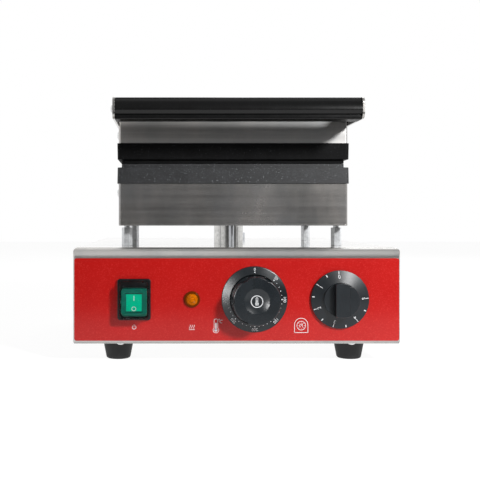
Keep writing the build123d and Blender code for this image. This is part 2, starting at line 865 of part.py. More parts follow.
with BuildPart() as gland_locknut:
    hex_nut(
        (gland_x, back_y - sheet, gland_z), (0, -1, 0), gland_flange_af, locknut_t, gland_d + 2 * touch_gap
    )
gland_locknut.part.label = "gland_locknut"
export_step(gland_locknut.part, "parts/gland_locknut.step")

# Hexagonal posts with a thinner neck under the box and a stud at each end
with BuildPart() as posts:
    for x, y in post_places:
        with BuildSketch(Plane.XY.offset(base_top)):
            with Locations((x, y)):
                RegularPolygon(post_af / 2, 6, major_radius=False)
        extrude(amount=post_gap - post_neck)
        with BuildSketch(Plane.XY.offset(base_top - sheet - nut_t_m6 - nut_past)):
            with Locations((x, y)):
                Circle(m6 / 2)
        extrude(amount=sheet + post_gap + floor_t + 2 * (nut_t_m6 + nut_past))
posts.part.label = "posts"
export_step(posts.part, "parts/posts.step")

with BuildPart() as post_nuts:
    for x, y in post_places:
        hex_nut((x, y, base_top - sheet), (0, 0, -1), nut_af_m6, nut_t_m6, m6 + 2 * touch_gap)
        hex_nut((x, y, low_box_z + floor_t), (0, 0, 1), nut_af_m6, nut_t_m6, m6 + 2 * touch_gap)
post_nuts.part.label = "post_nuts"
export_step(post_nuts.part, "parts/post_nuts.step")


def riser(in_front, outer_d, wall):
    """Upright tube from the cabinet's top into the lower box."""
    with BuildSketch(Plane.XY.offset(base_top - sheet - tube_past)) as section:
        with Locations((0, box_front + in_front)):
            Circle(outer_d / 2)
            Circle(outer_d / 2 - wall, mode=Mode.SUBTRACT)
    extrude(section.sketch, amount=sheet + post_gap + floor_t + 2 * tube_past)


with BuildPart() as wire_conduit:
    riser(conduit_in, conduit_d, conduit_wall)
wire_conduit.part.label = "wire_conduit"
export_step(wire_conduit.part, "parts/wire_conduit.step")

with BuildPart() as sensor_tube:
    riser(sensor_in, sensor_tube_d, sensor_wall)
sensor_tube.part.label = "sensor_tube"
export_step(sensor_tube.part, "parts/sensor_tube.step")

# Thermostat's probe: bulb under the lower plate and its capillary through the sensor tube
with BuildPart() as thermostat_probe:
    bulb_z = low_plate_z - bulb_d / 2
    sensor_y = box_front + sensor_in
    capillary_y = inner_front + thermostat_deep + capillary_clear
    with BuildSketch(Plane.XZ.offset(-(sensor_y + bulb_back))):
        with Locations((0, bulb_z)):
            Circle(bulb_d / 2)
    extrude(amount=-bulb_long)
    with BuildLine() as capillary_path:
        FilletPolyline(
            (0, sensor_y + bulb_back, bulb_z),
            (0, sensor_y, bulb_z),
            (0, sensor_y, base_top - capillary_drop[0]),
            (0, capillary_y, base_top - capillary_drop[1]),
            (temp_x, capillary_y, control_z),
            (temp_x, inner_front + thermostat_deep, control_z),
            radius=capillary_bend,
        )
    with BuildSketch(Plane(origin=(0, sensor_y + bulb_back, bulb_z), z_dir=(0, -1, 0))):
        Circle(capillary_d / 2)
    sweep(path=capillary_path.line)
thermostat_probe.part.label = "thermostat_probe"
export_step(thermostat_probe.part, "parts/thermostat_probe.step")

# Lower housing: four walls in one fold, and a floor plate
side_screw_y = (box_front + side_screw_in, box_back - side_screw_in)
with BuildPart() as lower_housing:
    with BuildSketch(Plane.XY.offset(low_box_z + floor_t)):
        with Locations((0, box_y)):
            RectangleRounded(box_w, box_d, box_r)
            RectangleRounded(box_w - 2 * sheet, box_d - 2 * sheet, box_r - sheet, mode=Mode.SUBTRACT)
    extrude(amount=box_h - floor_t)
    with BuildSketch(Plane.YZ.offset(-box_w)):
        with Locations(*[(y, low_plate_z - side_screw_z) for y in side_screw_y]):
            Circle(m5 / 2 + touch_gap)
    extrude(amount=2 * box_w, mode=Mode.SUBTRACT)
    with BuildSketch(Plane.XZ.offset(-(box_back - 2 * sheet))):
        with Locations(*[(side * bracket_screw_x, z) for side in (-1, 1) for z in bracket_screw_z]):
            Circle(m5 / 2 + touch_gap)
    extrude(amount=-4 * sheet, mode=Mode.SUBTRACT)
lower_housing.part.label = "lower_housing"
export_step(lower_housing.part, "parts/lower_housing.step")

with BuildPart() as lower_floor:
    with BuildSketch(Plane.XY.offset(low_box_z)):
        with Locations((0, box_y)):
            RectangleRounded(box_w, box_d, box_r)
        with Locations(*post_places):
            Circle(m6 / 2 + sheet_gap, mode=Mode.SUBTRACT)
        with Locations((0, box_front + conduit_in)):
            Circle(conduit_d / 2 + sheet_gap, mode=Mode.SUBTRACT)
        with Locations((0, box_front + sensor_in)):
            Circle(sensor_tube_d / 2 + sheet_gap, mode=Mode.SUBTRACT)
    extrude(amount=floor_t)
lower_floor.part.label = "lower_floor"
export_step(lower_floor.part, "parts/lower_floor.step")

# Lower waffle plate: slab with lugs, raised rim field, four cavities with tapered studs
plate_w = box_w + 2 * plate_over
plate_d = box_d + 2 * plate_over
cavity_top_w = (plate_w - 2 * rim_in - 2 * cavity_edge - cavity_wall) / 2
cavity_top_d = (plate_d - 2 * rim_in - 2 * cavity_edge - cavity_wall) / 2
cavity_lean = cavity_deep * tan(radians(cavity_draft))
cavity_w = cavity_top_w - 2 * cavity_lean
cavity_d = cavity_top_d - 2 * cavity_lean
stud_w = (cavity_w - (pocket_n + 1) * pocket_gap) / pocket_n
stud_d = (cavity_d - (pocket_n + 1) * pocket_gap) / pocket_n
cavity_pitch_x = cavity_top_w + cavity_wall
cavity_pitch_y = cavity_top_d + cavity_wall
with BuildPart() as lower_plate:
    with BuildSketch(Plane.XY.offset(low_plate_z)):
        with Locations((0, box_y)):
            RectangleRounded(plate_w, plate_d, plate_r)
    extrude(amount=plate_t, taper=plate_draft)
    with BuildSketch(Plane.XY.offset(low_plate_z + plate_t)):
        with Locations((0, box_y)):
            RectangleRounded(plate_w - 2 * rim_in, plate_d - 2 * rim_in, plate_r)
    extrude(amount=rim_h)
    with BuildSketch(Plane.XY.offset(low_plate_z + plate_t + rim_h)):
        with Locations((0, box_y)):
            with GridLocations(cavity_pitch_x, cavity_pitch_y, 2, 2):
                Rectangle(cavity_top_w, cavity_top_d)
    extrude(amount=-cavity_deep, taper=cavity_draft, mode=Mode.SUBTRACT)
    with BuildSketch(Plane.XY.offset(low_plate_z + plate_t + rim_h - cavity_deep)):
        with Locations((0, box_y)):
            with GridLocations(cavity_pitch_x, cavity_pitch_y, 2, 2):
                with GridLocations(stud_w + pocket_gap, stud_d + pocket_gap, pocket_n, pocket_n):
                    Rectangle(stud_w, stud_d)
    extrude(amount=stud_h, taper=stud_draft)
    lug_x = box_w / 2 - sheet - lug_t / 2
    with BuildSketch(Plane.XY.offset(low_plate_z)):
        with Locations(*[(x, y) for x in (-lug_x, lug_x) for y in side_screw_y]):
            Rectangle(lug_t, lug_w)
    extrude(amount=-lug_long)
    with BuildSketch(Plane.YZ.offset(-box_w / 2)):
        with Locations(*[(y, low_plate_z - side_screw_z) for y in side_screw_y]):
            Circle(m5 / 2 + touch_gap)
    extrude(amount=box_w, mode=Mode.SUBTRACT)
lower_plate.part.label = "lower_plate"
export_step(lower_plate.part, "parts/lower_plate.step")

with BuildPart() as upper_plate:
    mirror(lower_plate.part, about=Plane.XY.offset(mate_z))
upper_plate.part.label = "upper_plate"
export_step(upper_plate.part, "parts/upper_plate.step")

# Tubular heating element bent to and fro under the plate
far_x = box_w / 2 - element_side_in
run_pitch = 2 * far_x / (element_runs - 1)
near_x = far_x - run_pitch
element_front = box_front + element_front_in
element_turn = box_back - element_turn_in
element_rear = box_back - element_rear_in
with BuildPart() as lower_element:
    element_z = low_plate_z - element_d / 2
    turns = [
        (-far_x, element_rear),
        (-far_x, element_front),
        (-near_x, element_front),
        (-near_x, element_turn),
        (near_x, element_turn),
        (near_x, element_front),
        (far_x, element_front),
        (far_x, element_rear),
    ]
    with BuildLine() as element_path:
        FilletPolyline(*[(x, y, element_z) for x, y in turns], radius=(run_pitch - element_flat) / 2)
    with BuildSketch(Plane(origin=(-far_x, element_rear, element_z), z_dir=(0, -1, 0))):
        Circle(element_d / 2)
    sweep(path=element_path.line)
    with BuildSketch(Plane.XZ.offset(-element_rear)):
        with Locations((-far_x, element_z), (far_x, element_z)):
            Circle(pin_d / 2)
    extrude(amount=-pin_long)
lower_element.part.label = "lower_element"
export_step(lower_element.part, "parts/lower_element.step")

with BuildPart() as upper_element:
    mirror(lower_element.part, about=Plane.XY.offset(mate_z))
upper_element.part.label = "upper_element"
export_step(upper_element.part, "parts/upper_element.step")

# Clamp bars that hold the element against the plate, on studs with nuts
clamp_top = low_plate_z - element_d
clamp_places = [(x, box_y + y) for x in (-run_pitch, run_pitch) for y in (-clamp_y, clamp_y)]
with BuildPart() as lower_clamps:
    with BuildSketch(Plane.XY.offset(clamp_top)):
        with Locations((0, box_y - clamp_y), (0, box_y + clamp_y)):
            RectangleRounded(clamp_w, clamp_l, clamp_corner)
        with Locations(*clamp_places):
            Circle(m6 / 2 + touch_gap, mode=Mode.SUBTRACT)
    extrude(amount=-clamp_t)
lower_clamps.part.label = "lower_clamps"
export_step(lower_clamps.part, "parts/lower_clamps.step")

with BuildPart() as lower_clamp_bolts:
    for x, y in clamp_places:
        with BuildSketch(Plane.XY.offset(low_plate_z)):
            with Locations((x, y)):
                Circle(m6 / 2)
        extrude(amount=-(element_d + clamp_t + clamp_slack))
        with BuildSketch(Plane.XY.offset(clamp_top - clamp_t)):
            with Locations((x, y)):
                RegularPolygon(nut_af_m6 / 2, 6, major_radius=False)
        extrude(amount=-nut_t_m6)
lower_clamp_bolts.part.label = "lower_clamp_bolts"
export_step(lower_clamp_bolts.part, "parts/lower_clamp_bolts.step")

with BuildPart() as upper_clamps:
    mirror(lower_clamps.part, about=Plane.XY.offset(mate_z))
upper_clamps.part.label = "upper_clamps"
export_step(upper_clamps.part, "parts/upper_clamps.step")

with BuildPart() as upper_clamp_bolts:
    mirror(lower_clamp_bolts.part, about=Plane.XY.offset(mate_z))
upper_clamp_bolts.part.label = "upper_clamp_bolts"
export_step(upper_clamp_bolts.part, "parts/upper_clamp_bolts.step")

# Insulating pads against the housings' floor and top
with BuildPart() as lower_insulation:
    with BuildSketch(Plane.XY.offset(low_box_z + floor_t)):
        with Locations((0, box_y)):
            RectangleRounded(pad_w, pad_d, pad_corner)
        with Locations((0, box_front + conduit_in)):
            Circle(conduit_d / 2 + pad_gap, mode=Mode.SUBTRACT)
        with Locations((0, box_front + sensor_in)):
            Circle(sensor_tube_d / 2 + pad_gap, mode=Mode.SUBTRACT)
    extrude(amount=pad_t)
lower_insulation.part.label = "lower_insulation"
export_step(lower_insulation.part, "parts/lower_insulation.step")

with BuildPart() as upper_insulation:
    with BuildSketch(Plane.XY.offset(top_z - sheet)):
        with Locations((0, box_y)):
            RectangleRounded(pad_w, pad_d, pad_corner)
    extrude(amount=-pad_t)
upper_insulation.part.label = "upper_insulation"
export_step(upper_insulation.part, "parts/upper_insulation.step")

arm_z = up_plate_z + arm_low
arm_mid_z = arm_z + arm_h / 2
arm_screw_y = (box_front + arm_screw_in, box_back - arm_screw_in)


def side_screws(height, seat_x):
    """Domed screws in both side walls of a housing at the given height."""
    for side in (-1, 1):
        for y in side_screw_y:
            dome_screw(
                (side * seat_x, y, height), (side, 0, 0), m5_head_d, m5_head_h, m5, sheet + thread_long
            )


with BuildPart() as lower_side_screws:
    side_screws(low_plate_z - side_screw_z, box_w / 2)
lower_side_screws.part.label = "lower_side_screws"
export_step(lower_side_screws.part, "parts/lower_side_screws.step")

with BuildPart() as upper_side_screws:
    side_screws(up_plate_z + side_screw_z, box_w / 2)
upper_side_screws.part.label = "upper_side_screws"
export_step(upper_side_screws.part, "parts/upper_side_screws.step")

# Upper housing: a folded box, open below, with rounded top edges
hose_top_z = up_plate_z + hose_up
with BuildPart() as upper_housing:
    with BuildSketch(Plane.XY.offset(up_plate_z)):
        with Locations((0, box_y)):
            RectangleRounded(box_w, box_d, box_r)
    extrude(amount=box_h)
    fillet(upper_housing.faces().sort_by(Axis.Z)[-1].edges(), lid_bend)
    with BuildSketch(Plane.XY.offset(up_plate_z)):
        with Locations((0, box_y)):
            RectangleRounded(box_w - 2 * sheet, box_d - 2 * sheet, box_r - sheet)
    extrude(amount=box_h - sheet, mode=Mode.SUBTRACT)
    with BuildSketch(Plane.YZ.offset(-box_w)):
        with Locations(*[(y, up_plate_z + side_screw_z) for y in side_screw_y]):
            Circle(m5 / 2 + touch_gap)
        with Locations(*[(y, arm_mid_z) for y in arm_screw_y]):
            Circle(m5 / 2 + touch_gap)
    extrude(amount=2 * box_w, mode=Mode.SUBTRACT)
    with BuildSketch(Plane.XZ.offset(-(box_back - 2 * sheet))):
        with Locations((hose_x[1], hose_top_z)):
            Circle(hose_bore / 2 + wire_gap)
    extrude(amount=-4 * sheet, mode=Mode.SUBTRACT)
upper_housing.part.label = "upper_housing"
export_step(upper_housing.part, "parts/upper_housing.step")

# Handle grip: a black bar, rounded above its nose, slanted and grooved below it
handle_y = box_front - handle_reach
handle_low = arm_z + (arm_h - handle_h) / 2
with BuildPart() as handle_grip:
    nose_r = handle_h - handle_nose
    chin_low = handle_nose - handle_chin_h
    groove_low = chin_low - groove_w
    grip_turn = 1 - cos(radians(45))
    with BuildSketch(Plane(origin=(-box_w / 2, handle_y, handle_low), x_dir=(0, 1, 0), z_dir=(1, 0, 0))):
        with BuildLine():
            ThreePointArc(
                (nose_r, handle_h),
                (nose_r * grip_turn, handle_h - nose_r * grip_turn),
                (0, handle_nose),
            )
            Polyline(
                (0, handle_nose),
                (handle_chin_in, chin_low),
                (handle_chin_in + groove_deep, chin_low),
                (handle_chin_in + groove_deep, groove_low),
                (handle_chin_in, groove_low),
                (handle_chin_in, handle_low_r),
            )
            ThreePointArc(
                (handle_chin_in, handle_low_r),
                (handle_chin_in + handle_low_r * grip_turn, handle_low_r * grip_turn),
                (handle_chin_in + handle_low_r, 0),
            )
            Polyline(
                (handle_chin_in + handle_low_r, 0),
                (handle_deep, 0),
                (handle_deep, handle_h - handle_top_r),
            )
            ThreePointArc(
                (handle_deep, handle_h - handle_top_r),
                (handle_deep - handle_top_r * grip_turn, handle_h - handle_top_r * grip_turn),
                (handle_deep - handle_top_r, handle_h),
            )
            Line((handle_deep - handle_top_r, handle_h), (nose_r, handle_h))
        make_face()
    extrude(amount=box_w)
    with BuildSketch(Plane.YZ.offset(-box_w / 2)):
        with Locations((handle_y + handle_deep / 2, handle_low + handle_screw_z)):
            Circle(m4 / 2 + touch_gap)
    extrude(amount=2 * thread_long + tap_past, mode=Mode.SUBTRACT)
    with BuildSketch(Plane.YZ.offset(box_w / 2)):
        with Locations((handle_y + handle_deep / 2, handle_low + handle_screw_z)):
            Circle(m4 / 2 + touch_gap)
    extrude(amount=-(2 * thread_long + tap_past), mode=Mode.SUBTRACT)
handle_grip.part.label = "handle_grip"
export_step(handle_grip.part, "parts/handle_grip.step")

with BuildPart() as handle_screws:
    for side in (-1, 1):
        dome_screw(
            (side * (box_w / 2 + arm_t), handle_y + handle_deep / 2, handle_low + handle_screw_z),
            (side, 0, 0),
            m4_head_d,
            m4_head_h,
            m4,
            arm_t + 2 * thread_long,
        )
handle_screws.part.label = "handle_screws"
export_step(handle_screws.part, "parts/handle_screws.step")

# Side arms: a long strip from the handle to the back, a neck down to the hinge and a heel
for side, arm_name in ((-1, "arm_left"), (1, "arm_right")):
    inner_x = side * box_w / 2
    with BuildPart() as arm:
        with BuildSketch(Plane.YZ.offset(min(inner_x, inner_x + side * arm_t))):
            strip_back = hinge_y + neck_w / 2
            with Locations(((handle_y + strip_back) / 2, arm_mid_z)):
                strip = Rectangle(strip_back - handle_y, arm_h)
            corners = strip.vertices().sort_by(Axis.X)
            fillet(corners[0:2] + corners[2:4].sort_by(Axis.Y)[1:2], arm_corner)
            with Locations((hinge_y, (hinge_z + arm_mid_z) / 2)):
                Rectangle(neck_w, arm_mid_z - hinge_z)
            with Locations((hinge_y, hinge_z)):
                Circle(eye_r)
            with Locations((hinge_y + heel_long / 2, hinge_z)):
                Rectangle(heel_long, heel_w)
            with Locations((hinge_y, hinge_z)):
                Circle(bush_d / 2, mode=Mode.SUBTRACT)
            with Locations((handle_y + handle_deep / 2, handle_low + handle_screw_z)):
                Circle(m4 / 2 + touch_gap, mode=Mode.SUBTRACT)
            with Locations(*[(y, arm_mid_z) for y in arm_screw_y]):
                Circle(m5 / 2 + touch_gap, mode=Mode.SUBTRACT)
        extrude(amount=arm_t)
    arm.part.label = arm_name
    export_step(arm.part, f"parts/{arm_name}.step")

with BuildPart() as arm_screws:
    for side in (-1, 1):
        for y in arm_screw_y:
            dome_screw(
                (side * (box_w / 2 + arm_t), y, arm_mid_z),
                (side, 0, 0),
                m5_head_d,
                m5_head_h,
                m5,
                arm_t + sheet + thread_long,
            )
arm_screws.part.label = "arm_screws"
export_step(arm_screws.part, "parts/arm_screws.step")

# Hinge: bushes in the arms, shaft, spacers, end nuts, brackets with ears, stop pins
arm_in = box_w / 2
arm_out = arm_in + arm_t
with BuildPart() as hinge_bushes:
    for start in (-arm_out - bush_past, arm_in - bush_past):
        with BuildSketch(Plane.YZ.offset(start)):
            with Locations((hinge_y, hinge_z)):
                Circle(bush_d / 2)
                Circle(hinge_shaft_d / 2 + run_gap, mode=Mode.SUBTRACT)
        extrude(amount=arm_t + 2 * bush_past)
hinge_bushes.part.label = "hinge_bushes"
export_step(hinge_bushes.part, "parts/hinge_bushes.step")

shaft_half = arm_out + bush_past + move_gap + end_nut_t - end_nut_wall
with BuildPart() as hinge_shaft:
    with BuildSketch(Plane.YZ.offset(-shaft_half)):
        with Locations((hinge_y, hinge_z)):
            Circle(hinge_shaft_d / 2)
    extrude(amount=2 * shaft_half)
hinge_shaft.part.label = "hinge_shaft"
export_step(hinge_shaft.part, "parts/hinge_shaft.step")

with BuildPart() as hinge_end_nuts:
    for side in (-1, 1):
        seat_x = side * (arm_out + bush_past + move_gap)
        with BuildSketch(Plane(origin=(seat_x, hinge_y, hinge_z), z_dir=(side, 0, 0))):
            RegularPolygon(end_nut_d / 2, 6, major_radius=False)
        extrude(amount=end_nut_t)
        with BuildSketch(Plane(origin=(seat_x, hinge_y, hinge_z), z_dir=(side, 0, 0))):
            Circle(hinge_shaft_d / 2 + touch_gap)
        extrude(amount=end_nut_t - end_nut_wall + touch_gap, mode=Mode.SUBTRACT)
hinge_end_nuts.part.label = "hinge_end_nuts"
export_step(hinge_end_nuts.part, "parts/hinge_end_nuts.step")

ear_out = ear_x + ear_t
with BuildPart() as hinge_spacers:
    for start in (-(arm_in - bush_past - move_gap), ear_out):
        with BuildSketch(Plane.YZ.offset(start)):
            with Locations((hinge_y, hinge_z)):
                Circle(bush_d / 2)
                Circle(hinge_shaft_d / 2 + touch_gap, mode=Mode.SUBTRACT)
        extrude(amount=arm_in - bush_past - move_gap - ear_out)
hinge_spacers.part.label = "hinge_spacers"
export_step(hinge_spacers.part, "parts/hinge_spacers.step")

# A stop pin waits where the heel's front edge arrives at the end of the lid's swing
heel_angle = degrees(asin(heel_w / 2 / heel_long))
pin_angle = degrees(asin((stop_d / 2 + move_gap) / heel_long))
stop_turn = radians(lid_swing + heel_angle + pin_angle)
stop_y = hinge_y + heel_long * cos(stop_turn)
stop_z = hinge_z - heel_long * sin(stop_turn)
with BuildPart() as stop_pins:
    for start in (-(arm_out + stop_past), ear_x):
        with BuildSketch(Plane.YZ.offset(start)):
            with Locations((stop_y, stop_z)):
                Circle(stop_d / 2)
        extrude(amount=arm_out + stop_past - ear_x)
stop_pins.part.label = "stop_pins"
export_step(stop_pins.part, "parts/stop_pins.step")

for side, bracket_name in ((-1, "hinge_bracket_left"), (1, "hinge_bracket_right")):
    ear_start = min(side * ear_x, side * ear_out)
    flange_mid = side * (ear_out - flange_wide / 2)
    with BuildPart() as bracket:
        with BuildSketch(Plane.YZ.offset(ear_start)):
            with BuildLine():
                Polyline(
                    (box_back, ear_foot_z),
                    (box_back, low_plate_z - flange_t),
                    (box_back + 2 * flange_t, low_plate_z + flange_t),
                    (hinge_y - eye_r * 0.6, hinge_z + eye_r * 0.8),
                    (hinge_y, hinge_z),
                    (hinge_y + eye_r * 0.8, hinge_z - eye_r * 0.6),
                    (box_back + ear_web, ear_foot_z),
                    close=True,
                )
            make_face()
            with Locations((hinge_y, hinge_z)):
                Circle(eye_r)
                Circle(hinge_shaft_d / 2 + touch_gap, mode=Mode.SUBTRACT)
            with Locations((stop_y, stop_z)):
                Circle(stop_d / 2 + touch_gap, mode=Mode.SUBTRACT)
        extrude(amount=ear_t)
        with BuildSketch(Plane.XY.offset(ear_foot_z)):
            with Locations((flange_mid, box_back + flange_t / 2)):
                Rectangle(flange_wide, flange_t)
        extrude(amount=low_plate_z - flange_t - ear_foot_z)
        with BuildSketch(Plane.XZ.offset(-box_back)):
            with Locations(*[(side * bracket_screw_x, z) for z in bracket_screw_z]):
                Circle(m5 / 2 + touch_gap)
        extrude(amount=-2 * flange_t, mode=Mode.SUBTRACT)
    bracket.part.label = bracket_name
    export_step(bracket.part, f"parts/{bracket_name}.step")

with BuildPart() as bracket_screws:
    for side in (-1, 1):
        for z in bracket_screw_z:
            dome_screw(
                (side * bracket_screw_x, box_back + flange_t, z),
                (0, 1, 0),
                m5_head_d,
                m5_head_h,
                m5,
                flange_t + sheet + thread_long / 2,
            )
bracket_screws.part.label = "bracket_screws"
export_step(bracket_screws.part, "parts/bracket_screws.step")


def hose_fitting(seat, out):
    """Hexagon fitting with a round collar, bored through for the hose's wires."""
    with BuildSketch(Plane(origin=seat, z_dir=out)) as nut:
        RegularPolygon(fitting_af / 2, 6, major_radius=False)
        Circle(hose_bore / 2, mode=Mode.SUBTRACT)
    extrude(nut.sketch, amount=fitting_h)
    with BuildSketch(Plane(origin=Vector(*seat) + Vector(*out) * fitting_h, z_dir=out)) as neck:
        Circle(fitting_neck_d / 2)
        Circle(hose_bore / 2, mode=Mode.SUBTRACT)
    extrude(neck.sketch, amount=fitting_neck)


with BuildPart() as hose_fitting_lower:
    hose_fitting((hose_x[0], hose_y, base_top), (0, 0, 1))
hose_fitting_lower.part.label = "hose_fitting_lower"
export_step(hose_fitting_lower.part, "parts/hose_fitting_lower.step")

with BuildPart() as hose_fitting_upper:
    hose_fitting((hose_x[1], box_back, hose_top_z), (0, 1, 0))
hose_fitting_upper.part.label = "hose_fitting_upper"
export_step(hose_fitting_upper.part, "parts/hose_fitting_upper.step")

# Ribbed hose from the cabinet's top to the back of the upper housing
fitting_long = fitting_h + fitting_neck
hose_low = (hose_x[0], hose_y, base_top + fitting_long)
hose_high = (hose_x[1], box_back + fitting_long, hose_top_z)
with BuildLine() as hose_path:
    FilletPolyline(
        hose_low,
        (hose_x[0], hose_y, base_top + fitting_long + hose_rise),
        (hose_x[1], hose_y + hose_bow, hose_top_z),
        hose_high,
        radius=list(hose_bends),
    )
hose_line = hose_path.wire()
rib_count = int(hose_line.length / rib_pitch)
rib_step = hose_line.length / rib_count
print("hose length", round(hose_line.length, 1), "ribs", rib_count)


def hose_plane(along):
    """Plane across the hose at a distance along it, with its x axis kept steady."""
    share = along / hose_line.length
    heading = hose_line.tangent_at(share)
    steady = Vector(1, 0, 0) - heading * heading.X
    return Plane(origin=hose_line.position_at(share), x_dir=steady, z_dir=heading)


with BuildPart() as hose:
    for rib in range(rib_count):
        for part_of_rib, across in ((0.0, hose_root), (0.3, hose_root), (0.5, hose_d), (0.8, hose_d)):
            with BuildSketch(hose_plane((rib + part_of_rib) * rib_step)):
                Circle(across / 2)
    with BuildSketch(hose_plane(hose_line.length)):
        Circle(hose_root / 2)
    loft(ruled=True)
    with BuildSketch(hose_plane(0)):
        Circle(hose_bore / 2)
    sweep(path=hose_line, mode=Mode.SUBTRACT)
hose.part.label = "hose"
export_step(hose.part, "parts/hose.step")

print("front_y", front_y, "back_y", back_y, "box", box_front, box_back)
print("hinge", hinge_y, hinge_z, "mate", mate_z, "top", top_z, "stop", stop_y, stop_z)
print("rocker", panel_y, rocker_z, "foot", foot_places[0], "handle", handle_y, handle_low)
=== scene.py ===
"""Belgian waffle maker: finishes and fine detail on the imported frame.

Metres. The front faces -Y, +X is to the right and +Z is up.
"""

import json
from math import acos, atan2, cos, hypot, pi, radians, sin, sqrt

import bmesh
import bpy
from mathutils import Matrix, Vector


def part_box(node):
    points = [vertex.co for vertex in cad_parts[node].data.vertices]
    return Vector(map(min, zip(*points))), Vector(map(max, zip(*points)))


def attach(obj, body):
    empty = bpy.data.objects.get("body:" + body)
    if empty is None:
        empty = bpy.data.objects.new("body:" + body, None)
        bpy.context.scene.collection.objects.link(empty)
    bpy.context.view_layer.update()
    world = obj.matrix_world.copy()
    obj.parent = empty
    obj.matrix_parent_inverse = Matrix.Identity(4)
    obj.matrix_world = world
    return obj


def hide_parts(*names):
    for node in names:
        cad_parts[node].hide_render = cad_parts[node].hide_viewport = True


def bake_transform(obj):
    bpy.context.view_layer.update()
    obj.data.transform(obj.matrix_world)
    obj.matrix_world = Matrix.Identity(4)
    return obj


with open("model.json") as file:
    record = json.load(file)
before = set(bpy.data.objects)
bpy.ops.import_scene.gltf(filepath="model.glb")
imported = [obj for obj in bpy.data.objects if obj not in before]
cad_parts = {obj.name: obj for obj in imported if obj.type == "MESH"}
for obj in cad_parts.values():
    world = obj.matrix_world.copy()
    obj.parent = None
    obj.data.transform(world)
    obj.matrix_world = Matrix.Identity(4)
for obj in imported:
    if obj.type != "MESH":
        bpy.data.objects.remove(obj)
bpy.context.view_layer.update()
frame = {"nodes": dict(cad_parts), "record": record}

mm = 0.001
weld = 0.002 * mm
node_slot = {row["node"]: row["material_slot"] for row in frame["record"]["subparts"]}
body_of = {
    node: body
    for body, members in frame["record"]["behaviour"]["bodies"].items()
    for node in members
}


def middle(node):
    """Centre of a node's box."""
    low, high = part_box(node)
    return (low + high) / 2


# Camera: level, straight at the front, with the photograph's vanishing point
photo_px = 480
vanish_x, vanish_y = 168, 217
panel_px_per_mm = 1.058
camera_gap = 735 * mm
camera_left = 65 * mm
camera_up = 139 * mm
sensor = 36.0
panel_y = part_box("front_panel")[0].y
focal_px = panel_px_per_mm / mm * camera_gap

camera_data = bpy.data.cameras.new("photo_camera")
camera_data.sensor_width = sensor
camera_data.lens = sensor * focal_px / photo_px
camera_data.shift_x = (photo_px / 2 - vanish_x) / photo_px
camera_data.shift_y = (vanish_y - photo_px / 2) / photo_px
camera_data.clip_start = 0.01
camera = bpy.data.objects.new("photo_camera", camera_data)
camera.location = (-camera_left, panel_y - camera_gap, camera_up)
camera.rotation_euler = (pi / 2, 0, 0)
bpy.context.scene.collection.objects.link(camera)
bpy.context.scene.camera = camera

# Material helpers

def new_material(name):
    """Empty node material with a Principled shader joined to its output."""
    material = bpy.data.materials.new(name)
    material.use_nodes = True
    tree = material.node_tree
    tree.nodes.clear()
    shader = tree.nodes.new("ShaderNodeBsdfPrincipled")
    output = tree.nodes.new("ShaderNodeOutputMaterial")
    tree.links.new(shader.outputs["BSDF"], output.inputs["Surface"])
    return material, tree, shader


def put(tree, kind, **settings):
    """New node with its settings."""
    node = tree.nodes.new(kind)
    for name, value in settings.items():
        setattr(node, name, value)
    return node


def supply(tree, socket, value):
    """Links a socket to the output that is given, or sets it to a number or a colour."""
    if isinstance(value, bpy.types.NodeSocket):
        tree.links.new(value, socket)
    elif isinstance(value, tuple):
        socket.default_value = (*value, 1.0)
    else:
        socket.default_value = value


def feed(tree, node, **sockets):
    """Links or sets sockets, whose names are given with underscores for spaces."""
    for name, value in sockets.items():
        supply(tree, node.inputs[name.replace("_", " ")], value)
    return node


def maths(tree, operation, first, second=0.0, third=0.0):
    """Output of a Math node."""
    node = put(tree, "ShaderNodeMath", operation=operation)
    for socket, value in zip(node.inputs, (first, second, third)):
        supply(tree, socket, value)
    return node.outputs[0]


def ramp(tree, value, *stops):
    """Colour or grey ramp over value; each stop is (position, colour or grey)."""
    node = put(tree, "ShaderNodeValToRGB")
    tree.links.new(value, node.inputs["Fac"])
    while len(node.color_ramp.elements) < len(stops):
        node.color_ramp.elements.new(0.5)
    for element, (place, colour) in zip(node.color_ramp.elements, stops):
        element.position = place
        element.color = (*colour, 1.0) if isinstance(colour, tuple) else (colour, colour, colour, 1.0)
    return node.outputs["Color"]


def blended(tree, factor, first, second):
    """Colour that goes from first to second with factor."""
    node = put(tree, "ShaderNodeMix", data_type="RGBA")
    for socket, value in zip((node.inputs[0], node.inputs[6], node.inputs[7]), (factor, first, second)):
        supply(tree, socket, value)
    return node.outputs[2]


def toned(colour, share):
    """A colour made darker or lighter."""
    return tuple(share * value for value in colour)


def place_on(tree, stretch=(1.0, 1.0, 1.0)):
    """Object coordinates, stretched."""
    where = put(tree, "ShaderNodeTexCoord")
    mapping = put(tree, "ShaderNodeMapping")
    mapping.inputs["Scale"].default_value = stretch
    tree.links.new(where.outputs["Object"], mapping.inputs["Vector"])
    return mapping.outputs["Vector"]


def noise(tree, vector, scale, detail=2.0, rough=0.5):
    """Noise value at scale waves per metre."""
    node = put(tree, "ShaderNodeTexNoise")
    return feed(tree, node, Vector=vector, Scale=scale, Detail=detail, Roughness=rough).outputs["Fac"]


def cells_in(tree, vector, scale, spread=1.0):
    """Voronoi cells, scale of them per metre; spread is how far they leave a square grid."""
    node = put(tree, "ShaderNodeTexVoronoi", feature="F1")
    return feed(tree, node, Vector=vector, Scale=scale, Randomness=spread)


def flatness(tree):
    """0 where a surface is seen straight on, rising to 1 where it is seen at a flat angle."""
    node = put(tree, "ShaderNodeLayerWeight")
    return feed(tree, node, Blend=0.5).outputs["Facing"]


def bump(tree, shader, height, distance):
    """Bump of a height field into the shader's normal."""
    node = put(tree, "ShaderNodeBump")
    feed(tree, node, Height=height, Distance=distance, Strength=1.0)
    tree.links.new(node.outputs["Normal"], shader.inputs["Normal"])


